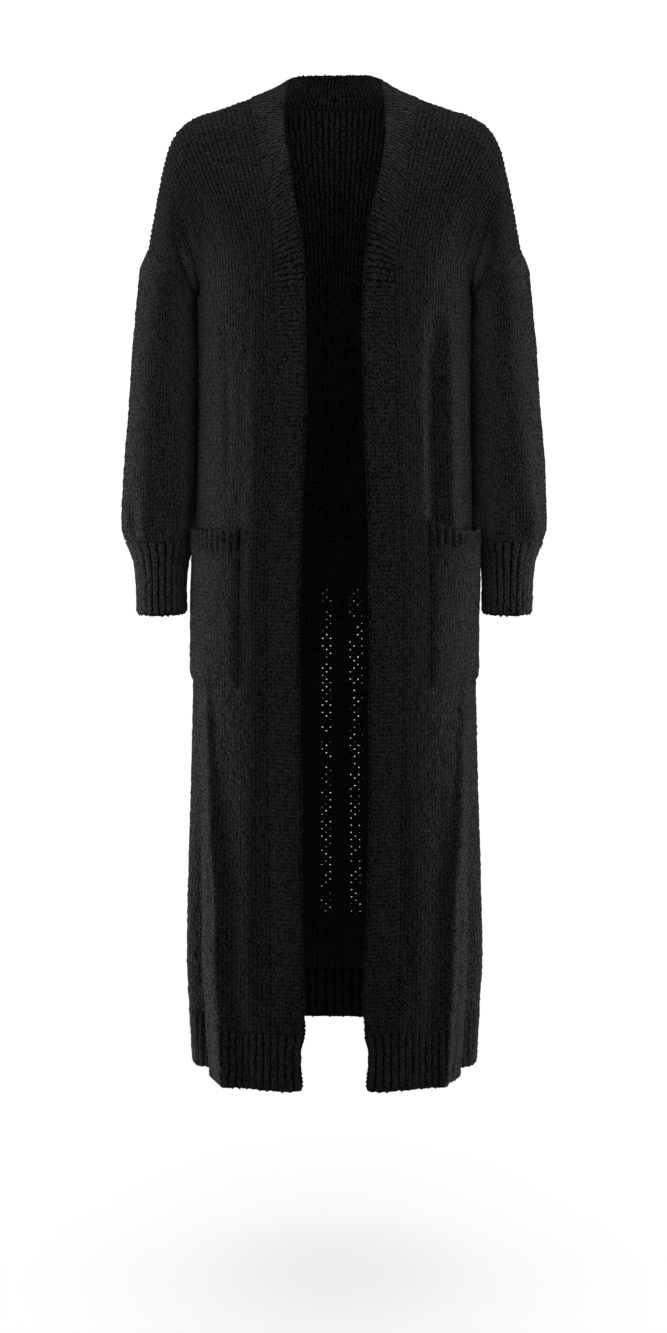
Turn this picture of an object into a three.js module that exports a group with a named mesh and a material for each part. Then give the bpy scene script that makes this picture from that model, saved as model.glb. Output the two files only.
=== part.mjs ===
// An open-front, ankle-length knitted cardigan in the hollow shape that it keeps when worn.
// Millimetres, +Z up.
// The front faces -Y. The origin is between the shoulders, level with the neck end of the shoulder seams.
// Left and right are the viewer's, seen from the front: left is at -X.
// Every piece is a wall of cloth: an outer skin worked out on a grid, and a plain inner skin inside it.
import * as THREE from "three";

// Driving sizes, in mm
const CLOTH = 3; // thickness of the plain knit
const RIB_RAISE = 1.6; // how far a rib's crest stands above its valley
const SEAM_GAP = 0.3; // between two pieces that are sewn together
const ARMPIT_Z = -225; // bottom of the armholes
const RIB_TOP_Z = -1064; // where the hem's ribbing starts
const HEM_Z = -1129;
const POCKET_TOP_Z = -490;
const POCKET_RIB_Z = -515;
const POCKET_BOTTOM_Z = -668;
const CUFF_TOP_Z = -508;
const CUFF_END_Z = -592;
const BAND_RIB = 9.2; // pitch of the ribs that cross the front band
const BAND_SEAM_RIB = 0.35; // share of the ribs' height that is left at the band's seam
const POCKET_LOW_RIB = 0.3; // and below a pocket's ribbed top
const HEM_INSET = 3.5; // how far the hem's ribbing stops short of the band's free edge
const SQUARENESS = 2.5; // exponent of the body's rounded outline, 2 for an ellipse

// Grid of the panels
const YOKE_ROWS = 12; // from the shoulder seam to the armpit
// Columns of a front, as shares of its width from the band's seam to the side seam
const FRONT_STEPS = [0, 0.1, 0.2, 0.28, 0.36, 0.44, 0.52, 0.6, 0.68, 0.76, 0.84, 0.92, 1];
const POCKET_FIRST = 2; // the pocket covers these steps of the front
const POCKET_LAST = 11;
const BACK_COLUMNS = 24;
const ROW_HEIGHTS = [ARMPIT_Z, -280, -340, -400, -450, POCKET_TOP_Z, POCKET_RIB_Z, -565, -615, POCKET_BOTTOM_Z,
  -730, -800, -870, -940, -1005, RIB_TOP_Z];
const HEM_HEIGHTS = [RIB_TOP_Z, -1096, HEM_Z];

// The body's outline at each height: half its width, and how far it reaches to the front and to the back
const BODY = [
  { z: -150, half: 160, front: 112, back: 112 },
  { z: -225, half: 158, front: 120, back: 110 },
  { z: -300, half: 157, front: 124, back: 106 },
  { z: -400, half: 158, front: 126, back: 104 },
  { z: -490, half: 161, front: 128, back: 108 },
  { z: -560, half: 165, front: 130, back: 115 },
  { z: -650, half: 166, front: 132, back: 121 },
  { z: -760, half: 169, front: 134, back: 128 },
  { z: -880, half: 173, front: 136, back: 135 },
  { z: -1000, half: 177, front: 138, back: 142 },
  { z: -1070, half: 174, front: 141, back: 147 },
  { z: -1129, half: 171, front: 143, back: 151 },
];

// Half the front opening's width, and the band's width beside it
const OPENING = [
  { z: -225, half: 33.5, band: 33 },
  { z: -300, half: 33.2, band: 34 },
  { z: -400, half: 35.5, band: 35 },
  { z: -510, half: 38.8, band: 36 },
  { z: -620, half: 41, band: 36 },
  { z: -760, half: 40, band: 36.5 },
  { z: -900, half: 38.4, band: 37 },
  { z: -1010, half: 36.2, band: 37 },
  { z: -1129, half: 36.6, band: 37 },
];

// The band round the neck, from the middle of the back to the chest: its seam and its free edge, for x above 0
const NECK_BAND = [
  { seam: [0, 86, -1], edge: [0, 76, 38] },
  { seam: [36, 83, 0.5], edge: [26, 72, 37.5] },
  { seam: [68, 68, 4], edge: [46, 60, 35] },
  { seam: [88, 42, 5.5], edge: [55, 41, 27] },
  { seam: [97, 8, 0], edge: [58, 15, 8] },
  { seam: [94, -15, -24], edge: [59.5, -7, -21] },
  { seam: [87, -38, -59], edge: [58.5, -32, -45] },
  { seam: [80, -64, -97], edge: [54.5, -61, -77] },
  { seam: [73.5, -88, -136], edge: [47.5, -88, -118] },
  { seam: [68, -106, -178], edge: [38.5, -109, -163] },
];
const NECK_STEPS = 5; // columns of the back along half its neckline
const RIB_STEPS = 4; // half ribs in one column of a hem or pocket
const END_RIB_STEPS = 8; // half ribs of the hem below the band's width
const CUFF_RIB_STEPS = 2; // half ribs in one column of a cuff
const SHOULDER_STATION = 4; // the row of NECK_BAND that lies on the shoulder seam
const SHOULDER_Y = 8; // the seam lies in one plane across the shoulders

// The shoulder seam, from the neck over the shoulder and down the upper arm to the dropped sleeve
const SHOULDER = [
  { x: 97, z: 0 },
  { x: 128, z: -11 },
  { x: 160, z: -21.5 },
  { x: 178, z: -34 },
  { x: 190, z: -53 },
  { x: 199, z: -85 },
  { x: 208, z: -128 },
  { x: 216, z: -170 },
];

// Each wale of the yoke is a Bezier curve from the shoulder seam or neckline to the armpit's height.
// Its first handle goes across and down from its start, and out to the depth reach.
// Its last handle leads it into its end.
const FRONT_YOKE = {
  neck: { across: 0, reach: -42, down: 22, endAcross: 0, endDeep: -22, endDown: 106 },
  arm: { across: -6, reach: -68, down: 10, endAcross: 4, endDeep: 74, endDown: -6 },
};
const BACK_YOKE = {
  neck: { across: 0, reach: 97, down: 45, endAcross: 0, endDeep: -2, endDown: 80 },
  shoulder: { across: 0, reach: 92, down: 6, endAcross: 0, endDeep: 4, endDown: 90 },
  arm: { across: -6, reach: 88, down: 10, endAcross: 4, endDeep: -78, endDown: -6 },
};
const ARM_TURN = 0.42; // share of the yoke's width past which its wales turn towards the arm

// Vertical folds of the body. The angles are degrees round from the front's middle; wide is half the width.
// depth is above 0 for a ridge and below 0 for a trough. It has faded out at the heights high and low.
const FOLDS = [
  { side: -1, high: -640, highAngle: 74, lowAngle: 66, wide: 13, depth: -19, fade: 320 },
  { side: -1, high: -640, highAngle: 56, lowAngle: 42, wide: 12, depth: 9, fade: 320 },
  { side: 1, high: -640, highAngle: 74, lowAngle: 66, wide: 13, depth: -15, fade: 320 },
  { side: 1, high: -640, highAngle: 56, lowAngle: 42, wide: 12, depth: 7, fade: 320 },
  { side: -1, high: -230, low: -640, highAngle: 34, lowAngle: 36, wide: 9, depth: 4, fade: 110 },
  { side: -1, high: -230, low: -1090, highAngle: 22, lowAngle: 22, wide: 8, depth: -3.5, fade: 120 },
  { side: 1, high: -225, low: -640, highAngle: 37, lowAngle: 38, wide: 9.5, depth: -12, fade: 100 },
  { side: 1, high: -235, low: -640, highAngle: 52, lowAngle: 53, wide: 10, depth: 4, fade: 100 },
  { side: -1, high: -980, highAngle: 9, lowAngle: 6, wide: 8, depth: -7, fade: 120 },
  { side: 1, high: -980, highAngle: 9, lowAngle: 6, wide: 8, depth: -7, fade: 120 },
  { side: -1, high: -560, highAngle: 122, lowAngle: 126, wide: 15, depth: -12, fade: 380 },
  { side: 1, high: -600, highAngle: 124, lowAngle: 129, wide: 14, depth: -13, fade: 360 },
  { side: -1, high: -620, highAngle: 158, lowAngle: 160, wide: 14, depth: -9, fade: 380 },
  { side: 1, high: -660, highAngle: 163, lowAngle: 156, wide: 15, depth: -8, fade: 360 },
  { side: -1, high: -250, low: -620, highAngle: 118, lowAngle: 122, wide: 12, depth: -7, fade: 120 },
  { side: 1, high: -250, low: -620, highAngle: 116, lowAngle: 121, wide: 12, depth: -8, fade: 120 },
];

// The crease between the chest and the arm, in shares of the yoke's width and height, and its depth
const CREASE = { top: 0.6, bottom: 0.8, wide: 0.15, depth: 15, start: 0.3 };

// The sleeve below the armhole: its centre, half its width and depth, and how much its outer side is raised
const SLEEVE = [
  { z: -223, x: 193.5, y: 8, across: 32.3, deep: 58.5, tilt: 26 },
  { z: -252, x: 195.5, y: 13, across: 35, deep: 60, tilt: 15 },
  { z: -300, x: 198, y: 20, across: 39, deep: 61, tilt: 7 },
  { z: -364, x: 201.5, y: 24, across: 41.5, deep: 61, tilt: 3 },
  { z: -421, x: 204.5, y: 24, across: 44, deep: 60, tilt: 0 },
  { z: -470, x: 206, y: 21, across: 44, deep: 59, tilt: 0 },
  { z: -492, x: 206.5, y: 18, across: 43.5, deep: 57, tilt: 0 },
  { z: -508, x: 206.5, y: 15, across: 40, deep: 53, tilt: 0 },
  { z: -520, x: 205.5, y: 12, across: 35.5, deep: 46.5, tilt: 0 },
  { z: -535, x: 205, y: 9, across: 31, deep: 41, tilt: 0 },
  { z: -560, x: 204.5, y: 4, across: 28.6, deep: 38, tilt: 0 },
  { z: -592, x: 204, y: -2, across: 28.4, deep: 36.5, tilt: 0 },
];
const SLEEVE_ROWS = 12; // from the armhole to the cuff
const CUFF_ROWS = 4;

// How far each pocket's mouth stands off the front, how far its top edge sags, and how far down it gapes
const POCKETS = [
  { side: -1, gape: 4, sag: 5, reach: 60 },
  { side: 1, gape: 15, sag: 15, reach: 120 },
];

const YARN = { color: 0x1b1b1d, roughness: 0.95, metalness: 0 };
const RIBBED_YARN = { ...YARN, color: 0x1d1d1f };
// Cosines of the angle between two walls at a seam, where they fold back on each other and where they join
const FOLDED_BACK = -0.6;
const SEWN_ON = -0.2;
const SIDES = [{ name: "left", sign: -1 }, { name: "right", sign: 1 }];

const vec = (x, y, z) => new THREE.Vector3(x, y, z);
const toward = (a, b, t) => a.clone().lerp(b, t);
const ramp = (from, to, t) => THREE.MathUtils.smoothstep(t, from, to);
const steps = (n) => Array.from({ length: n + 1 }, (_, i) => i / n);

// Smooth curve through the rows of a table, read at a value of its key column.
function readTable(table, key, value, column) {
  const rising = table[table.length - 1][key] > table[0][key];
  const rows = rising ? table : [...table].reverse();
  const last = rows.length - 1;
  const at = THREE.MathUtils.clamp(value, rows[0][key], rows[last][key]);
  let i = 0;
  while (i < last - 1 && rows[i + 1][key] < at) i += 1;
  const slope = (k) => {
    const before = rows[Math.max(k - 1, 0)];
    const after = rows[Math.min(k + 1, last)];
    return (after[column] - before[column]) / (after[key] - before[key]);
  };
  const span = rows[i + 1][key] - rows[i][key];
  const t = (at - rows[i][key]) / span;
  const u = 1 - t;
  return (1 + 2 * t) * u * u * rows[i][column] + t * t * (3 - 2 * t) * rows[i + 1][column]
    + span * t * u * (u * slope(i) - t * slope(i + 1));
}

// Sum of the folds at one angle and height, in mm outwards.
function foldAt(side, angle, z) {
  let sum = 0;
  for (const fold of FOLDS) {
    if (fold.side !== side) continue;
    const low = fold.low ?? HEM_Z - fold.fade;
    const share = THREE.MathUtils.clamp((fold.high - z) / (fold.high - Math.max(low, HEM_Z)), 0, 1);
    const centre = fold.highAngle + (fold.lowAngle - fold.highAngle) * share;
    const off = Math.abs(angle - centre) / fold.wide;
    if (off >= 1) continue;
    const fade = ramp(0, fold.fade, fold.high - z) * ramp(0, fold.fade, z - low);
    sum += fold.depth * fade * (0.5 + 0.5 * Math.cos(Math.PI * off));
  }
  return sum;
}

// A point of the body: a rounded rectangle's outline at this height, moved out or in by the folds.
function bodyPoint(side, angle, z) {
  const half = readTable(BODY, "z", z, "half");
  const a = (angle * Math.PI) / 180;
  const forward = Math.cos(a) > 0;
  const deep = readTable(BODY, "z", z, forward ? "front" : "back");
  const power = 2 / SQUARENESS;
  const x = half * Math.abs(Math.sin(a)) ** power;
  const y = (forward ? -1 : 1) * deep * Math.abs(Math.cos(a)) ** power;
  const out = vec(x / half ** 2, y / deep ** 2, 0).normalize().multiplyScalar(foldAt(side, angle, z));
  return vec(side * (x + out.x), y + out.y, z);
}

// The angle on the body's front at which a point lies this far from the middle.
function angleAcross(x, z) {
  return (Math.asin((x / readTable(BODY, "z", z, "half")) ** (SQUARENESS / 2)) * 180) / Math.PI;
}

// Points of the body at one height, spaced along the cloth at these shares from one angle to another.
function bodyRow(side, z, fromAngle, toAngle, shares) {
  const samples = 90;
  const points = steps(samples).map((t) => bodyPoint(side, fromAngle + (toAngle - fromAngle) * t, z));
  const lengths = [0];
  for (let i = 1; i <= samples; i += 1) lengths.push(lengths[i - 1] + points[i].distanceTo(points[i - 1]));
  return shares.map((share) => {
    const wanted = share * lengths[samples];
    let i = 0;
    while (i < samples - 1 && lengths[i + 1] < wanted) i += 1;
    return toward(points[i], points[i + 1], (wanted - lengths[i]) / (lengths[i + 1] - lengths[i]));
  });
}

// The angles of the band's free edge and of its seam at one height.
function bandAngles(z) {
  const half = readTable(OPENING, "z", z, "half");
  return [angleAcross(half, z), angleAcross(half + readTable(OPENING, "z", z, "band"), z)];
}

// A smooth curve through points, mirrored to one side.
function sideCurve(side, points) {
  return new THREE.CatmullRomCurve3(points.map(([x, y, z]) => vec(side * x, y, z)), false, "centripetal");
}

// The band's seam or free edge round the neck and over the yoke, which ends at the armpit's height.
function neckCurve(side, line) {
  const [edgeAngle, seamAngle] = bandAngles(ARMPIT_Z);
  const end = bodyPoint(side, line === "edge" ? edgeAngle : seamAngle, ARMPIT_Z);
  const points = NECK_BAND.map((row) => row[line]);
  return sideCurve(side, [...points, [side * end.x, end.y, end.z]]);
}

// Point of a neck curve, with t from 0 to 1 between two of its stations.
function neckPoint(curve, from, to, t) {
  return curve.getPoint((from + (to - from) * t) / NECK_BAND.length);
}

function shoulderCurve(side) {
  return sideCurve(side, SHOULDER.map((p) => [p.x, SHOULDER_Y, p.z]));
}

// One wale of a yoke: a Bezier curve from its top to the armpit's height.
function walePoints(top, bottom, handle, side) {
  const first = vec(top.x + side * handle.across, handle.reach, top.z - handle.down);
  const last = bottom.clone().sub(vec(side * handle.endAcross, handle.endDeep, -handle.endDown));
  const curve = new THREE.CubicBezierCurve3(top, first, last, bottom);
  return steps(YOKE_ROWS).map((t) => curve.getPoint(t));
}

// The crease between chest and arm, pushed in by this much at a share across and a share down the yoke.
function creaseAt(across, down) {
  const line = CREASE.top + (CREASE.bottom - CREASE.top) * down;
  const off = Math.min(Math.abs(across - line) / CREASE.wide, 1);
  return CREASE.depth * ramp(CREASE.start, 0.95, down) * (0.5 + 0.5 * Math.cos(Math.PI * off));
}

// Yoke of one half of the front or back, as columns of points: shares run from its inner edge to the armhole.
function yoke(side, facing, tops, bottoms, shares, handleAt) {
  return shares.map((share, i) => walePoints(tops[i], bottoms[i], handleAt(share), side).map((p, row) => {
    p.y -= facing * creaseAt(share, row / YOKE_ROWS);
    return p;
  }));
}

// The handles in between two given ones.
function blend(a, b, t) {
  return Object.fromEntries(Object.keys(a).map((key) => [key, a[key] + (b[key] - a[key]) * t]));
}

// The front's grid: rows from the shoulder seam to the hem's ribbing, columns from the band to the side seam.
function frontGrid(side) {
  const shoulder = shoulderCurve(side);
  const tops = FRONT_STEPS.map((share) => shoulder.getPointAt(share));
  const bottoms = bodyRow(side, ARMPIT_Z, bandAngles(ARMPIT_Z)[1], 90, FRONT_STEPS);
  const handleAt = (share) => blend(FRONT_YOKE.neck, FRONT_YOKE.arm, ramp(ARM_TURN, 1, share));
  const columns = yoke(side, -1, tops, bottoms, FRONT_STEPS, handleAt);
  const seam = neckCurve(side, "seam");
  const shift = columns[0].map((p, row) =>
    neckPoint(seam, SHOULDER_STATION, NECK_BAND.length, row / YOKE_ROWS).sub(p));
  const grid = steps(YOKE_ROWS).map((_, row) =>
    columns.map((column, c) => column[row].clone().addScaledVector(shift[row], (1 - FRONT_STEPS[c]) ** 2)));
  for (const z of ROW_HEIGHTS.slice(1)) grid.push(bodyRow(side, z, bandAngles(z)[1], 90, FRONT_STEPS));
  return grid;
}

// Half of the back panel: columns from the middle of the back to the side seam.
function halfBackGrid(side) {
  const shares = steps(BACK_COLUMNS / 2);
  const neckline = neckCurve(side, "seam");
  const shoulder = shoulderCurve(side);
  const shoulderSteps = shares.length - 1 - NECK_STEPS;
  const tops = shares.map((_, i) => (i <= NECK_STEPS
    ? neckPoint(neckline, 0, SHOULDER_STATION, i / NECK_STEPS)
    : shoulder.getPointAt((i - NECK_STEPS) / shoulderSteps)));
  const bottoms = bodyRow(side, ARMPIT_Z, 180, 90, shares);
  const cornerShare = shares[NECK_STEPS];
  const handleAt = (share) => {
    const near = blend(BACK_YOKE.neck, BACK_YOKE.shoulder, ramp(0, cornerShare, share));
    return blend(near, BACK_YOKE.arm, ramp(cornerShare + 0.1, 1, share));
  };
  const columns = yoke(side, 1, tops, bottoms, shares, handleAt);
  const grid = steps(YOKE_ROWS).map((_, row) => columns.map((column) => column[row]));
  for (const z of ROW_HEIGHTS.slice(1)) grid.push(bodyRow(side, z, 180, 90, shares));
  return grid;
}

// The whole back, from the left side seam to the right one.
function backGrid() {
  const left = halfBackGrid(-1);
  const right = halfBackGrid(1);
  return left.map((row, r) => [...[...row].reverse(), ...right[r].slice(1)]);
}

// Half of the band's grid, from the middle of the back to the hem's ribbing: its free edge and its seam.
function halfBandGrid(side) {
  const edge = neckCurve(side, "edge");
  const seam = neckCurve(side, "seam");
  const rows = [edge, seam].map((curve) => {
    const behind = steps(NECK_STEPS).map((t) => neckPoint(curve, 0, SHOULDER_STATION, t));
    const yokePart = steps(YOKE_ROWS).map((t) => neckPoint(curve, SHOULDER_STATION, NECK_BAND.length, t));
    return [...behind, ...yokePart.slice(1)];
  });
  for (const z of ROW_HEIGHTS.slice(1)) {
    bandAngles(z).forEach((angle, i) => rows[i].push(bodyPoint(side, angle, z)));
  }
  return rows;
}

// The whole band, from the left hem round the neck to the right hem.
function bandGrid() {
  const left = halfBandGrid(-1);
  const right = halfBandGrid(1);
  return left.map((row, r) => [...[...row].reverse(), ...right[r].slice(1)]);
}

// The front hem's grid: rows down, columns from the opening, past the band's seam, to the side seam.
function frontHemGrid(side) {
  return HEM_HEIGHTS.map((z) => {
    const seamAngle = bandAngles(z)[1];
    const edgeAngle = angleAcross(readTable(OPENING, "z", z, "half") + HEM_INSET, z);
    return [bodyPoint(side, edgeAngle, z), ...bodyRow(side, z, seamAngle, 90, FRONT_STEPS)];
  });
}

function backHemGrid() {
  const shares = steps(BACK_COLUMNS / 2);
  return HEM_HEIGHTS.map((z) => [
    ...bodyRow(-1, z, 180, 90, shares).reverse(),
    ...bodyRow(1, z, 180, 90, shares).slice(1),
  ]);
}

// One ring of the sleeve, from its outer side round the front, the inner side and the back.
function sleeveRing(side, z) {
  const read = (column) => readTable(SLEEVE, "z", z, column);
  const count = 2 * YOKE_ROWS;
  return steps(count).slice(0, count).map((t) => {
    const a = 2 * Math.PI * t;
    return vec(side * (read("x") + read("across") * Math.cos(a)), read("y") - read("deep") * Math.sin(a),
      z + read("tilt") * Math.cos(a));
  });
}

// The sleeve's grid: the first row is the armhole's own edge, so that the two fit.
function sleeveGrid(side, front, back) {
  const armholeFront = front.slice(0, YOKE_ROWS + 1).map((row) => row[row.length - 1]);
  const column = side < 0 ? 0 : BACK_COLUMNS;
  const armholeBack = back.slice(0, YOKE_ROWS + 1).map((row) => row[column]).reverse();
  const armhole = [...armholeFront, ...armholeBack.slice(1, -1)];
  const first = SLEEVE[0].z;
  const rings = steps(SLEEVE_ROWS - 1).map((t) => sleeveRing(side, first + (CUFF_TOP_Z - first) * t));
  return [armhole.map((p) => p.clone()), ...rings];
}

function cuffGrid(side) {
  return steps(CUFF_ROWS).map((t) => sleeveRing(side, CUFF_TOP_Z + (CUFF_END_Z - CUFF_TOP_Z) * t));
}

// Outward unit normals at the points of a grid. A closed grid's last column meets its first one.
function gridNormals(grid, closed, turn) {
  const last = grid.length - 1;
  return grid.map((row, r) => row.map((_, c) => {
    const n = row.length;
    const before = closed ? (c + n - 1) % n : Math.max(c - 1, 0);
    const after = closed ? (c + 1) % n : Math.min(c + 1, n - 1);
    const along = row[after].clone().sub(row[before]);
    const down = grid[Math.min(r + 1, last)][c].clone().sub(grid[Math.max(r - 1, 0)][c]);
    return along.cross(down).normalize().multiplyScalar(turn);
  }));
}

// A panel is a grid with its normals.
function panel(grid, turn, closed = false) {
  return { grid, normals: gridNormals(grid, closed, turn), closed };
}

// Two edges that are sewn together share one direction, unless the cloth folds back on itself there.
function sew(first, second, pairs) {
  for (const [[r1, c1], [r2, c2]] of pairs) {
    const a = first.normals[r1][c1];
    const b = second.normals[r2][c2];
    const shared = a.clone().add(b).normalize();
    const smooth = ramp(FOLDED_BACK, SEWN_ON, a.dot(b));
    const own = b.clone();
    a.lerp(shared, smooth).normalize();
    b.copy(own.lerp(shared, smooth).normalize());
  }
}

// Draws one edge of a panel back from its seam by half the gap.
function drawBack(item, edge) {
  const { grid } = item;
  const half = SEAM_GAP / 2;
  const pull = (p, inner) => p.addScaledVector(inner.clone().sub(p).normalize(), half);
  const last = grid.length - 1;
  if (edge === "top") grid[0].forEach((p, c) => pull(p, grid[1][c]));
  if (edge === "bottom") grid[last].forEach((p, c) => pull(p, grid[last - 1][c]));
  if (edge === "start") grid.forEach((row) => pull(row[0], row[1]));
  if (edge === "end") grid.forEach((row) => pull(row[row.length - 1], row[row.length - 2]));
}

// A closed wall of cloth. Its outer skin has splits(column) steps in each column, raised by raise(row, step).
// Its inner skin is plain. Faces point outwards.
function clothWall(item, splits = () => 1, raise = () => 0) {
  const { grid, normals, closed } = item;
  const rows = grid.length;
  const columns = closed ? grid[0].length : grid[0].length - 1;
  const positions = [];
  const index = [];
  const add = (p) => positions.push(p.x, p.y, p.z) / 3 - 1;
  const start = []; // the outer skin's first step of each column
  let fine = 0;
  for (let c = 0; c < columns; c += 1) {
    start.push(fine);
    fine += splits(c);
  }
  start.push(fine);
  const wrap = (c) => (closed ? c % columns : c);
  const outer = grid.map((row, r) => {
    const made = [];
    for (let c = 0; c < columns; c += 1) {
      for (let k = 0; k < splits(c); k += 1) {
        const t = k / splits(c);
        const normal = toward(normals[r][c], normals[r][wrap(c + 1)], t).normalize();
        made.push(add(toward(row[c], row[wrap(c + 1)], t).addScaledVector(normal, raise(r, start[c] + k))));
      }
    }
    if (!closed) made.push(add(row[columns].clone().addScaledVector(normals[r][columns], raise(r, fine))));
    return made;
  });
  const inner = grid.map((row, r) => row.map((p, c) => add(p.clone().addScaledVector(normals[r][c], -CLOTH))));
  const outerAt = (r, f) => outer[r][closed ? f % fine : f];
  const innerAt = (r, c) => inner[r][wrap(c)];
  const quad = (a, b, c, d) => index.push(a, b, c, a, c, d);
  const point = (i) => vec(positions[3 * i], positions[3 * i + 1], positions[3 * i + 2]);
  // A border's face is folded along the diagonal that leaves it hollow, clear of its neighbour.
  const borderQuad = (a, b, c, d, out) => {
    const lean = point(a).add(point(c)).sub(point(b)).sub(point(d)).dot(out);
    if (lean > 0) index.push(a, b, d, b, c, d);
    else quad(a, b, c, d);
  };
  for (let r = 0; r < rows - 1; r += 1) {
    for (let f = 0; f < fine; f += 1) {
      quad(outerAt(r, f), outerAt(r, f + 1), outerAt(r + 1, f + 1), outerAt(r + 1, f));
    }
    for (let c = 0; c < columns; c += 1) {
      quad(innerAt(r, c), innerAt(r + 1, c), innerAt(r + 1, c + 1), innerAt(r, c + 1));
    }
    if (closed) continue;
    const before = grid[r][0].clone().sub(grid[r][1]);
    const after = grid[r][columns].clone().sub(grid[r][columns - 1]);
    borderQuad(outerAt(r, 0), outerAt(r + 1, 0), innerAt(r + 1, 0), innerAt(r, 0), before);
    borderQuad(outerAt(r + 1, fine), outerAt(r, fine), innerAt(r, columns), innerAt(r + 1, columns), after);
  }
  for (const [r, next] of [[0, 1], [rows - 1, rows - 2]]) {
    const face = (a, b, c) => (r > 0 ? index.push(a, b, c) : index.push(a, c, b));
    for (let c = 0; c < columns; c += 1) {
      const [from, to] = [start[c], start[c + 1]];
      const half = from + Math.ceil(splits(c) / 2);
      if (splits(c) === 1) {
        const out = grid[r][c].clone().sub(grid[next][c]);
        const [a, b, d, e] = [outerAt(r, from), outerAt(r, to), innerAt(r, c + 1), innerAt(r, c)];
        if (r > 0) borderQuad(a, b, d, e, out);
        else borderQuad(b, a, e, d, out);
        continue;
      }
      for (let f = from; f < to; f += 1) {
        face(outerAt(r, f), outerAt(r, f + 1), innerAt(r, f < half ? c : c + 1));
      }
      face(innerAt(r, c), outerAt(r, half), innerAt(r, c + 1));
    }
  }
  return facingOut(positions, index);
}

// Turns all faces round if they enclose a negative volume.
function facingOut(positions, index) {
  const corner = (i) => vec(positions[3 * i], positions[3 * i + 1], positions[3 * i + 2]);
  let volume = 0;
  for (let i = 0; i < index.length; i += 3) {
    volume += corner(index[i]).dot(corner(index[i + 1]).cross(corner(index[i + 2])));
  }
  const turned = index.slice();
  if (volume < 0) {
    for (let i = 0; i < turned.length; i += 3) [turned[i + 1], turned[i + 2]] = [turned[i + 2], turned[i + 1]];
  }
  return new THREE.BufferGeometry()
    .setAttribute("position", new THREE.Float32BufferAttribute(positions, 3))
    .setIndex(turned);
}

// Ribs along the columns: every second step of the outer skin is a crest.
const ribs = (r, f) => (f % 2 === 1 ? RIB_RAISE : 0);

// The pocket is the front's own grid, moved out: its mouth hangs down a little and stands off the front.
function pocketPanel(front, shape) {
  const topRow = YOKE_ROWS + ROW_HEIGHTS.indexOf(POCKET_TOP_Z);
  const bottomRow = YOKE_ROWS + ROW_HEIGHTS.indexOf(POCKET_BOTTOM_Z);
  const grid = [];
  for (let r = topRow; r <= bottomRow; r += 1) {
    const row = [];
    for (let c = POCKET_FIRST; c <= POCKET_LAST; c += 1) {
      const middle = Math.sin((Math.PI * (c - POCKET_FIRST)) / (POCKET_LAST - POCKET_FIRST));
      const p = front.grid[r][c];
      const open = ramp(POCKET_TOP_Z - shape.reach, POCKET_TOP_Z, p.z) * middle;
      const lift = SEAM_GAP + CLOTH + shape.gape * open;
      const moved = p.clone().addScaledVector(front.normals[r][c], lift);
      if (r === topRow) moved.z -= shape.sag * middle;
      row.push(moved);
    }
    grid.push(row);
  }
  return grid;
}

// Where a front, the back and the band meet they share one direction, in the shoulder seam's plane.
function shoulderNormals(sign, front, back, band, bandCorner) {
  const shoulder = shoulderCurve(sign);
  const middle = BACK_COLUMNS / 2;
  const shoulderSteps = middle - NECK_STEPS;
  const upward = (t) => {
    const along = shoulder.getTangentAt(t);
    return vec(-along.z, 0, along.x).multiplyScalar(sign);
  };
  FRONT_STEPS.forEach((share, c) => front.normals[0][c].copy(upward(share)));
  for (let i = 0; i <= shoulderSteps; i += 1) {
    back.normals[0][middle + sign * (NECK_STEPS + i)].copy(upward(i / shoulderSteps));
  }
  const corner = band.normals[1][bandCorner];
  corner.add(upward(0)).setY(0).normalize();
  front.normals[0][0].copy(corner);
  back.normals[0][middle + sign * NECK_STEPS].copy(corner);
}

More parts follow.
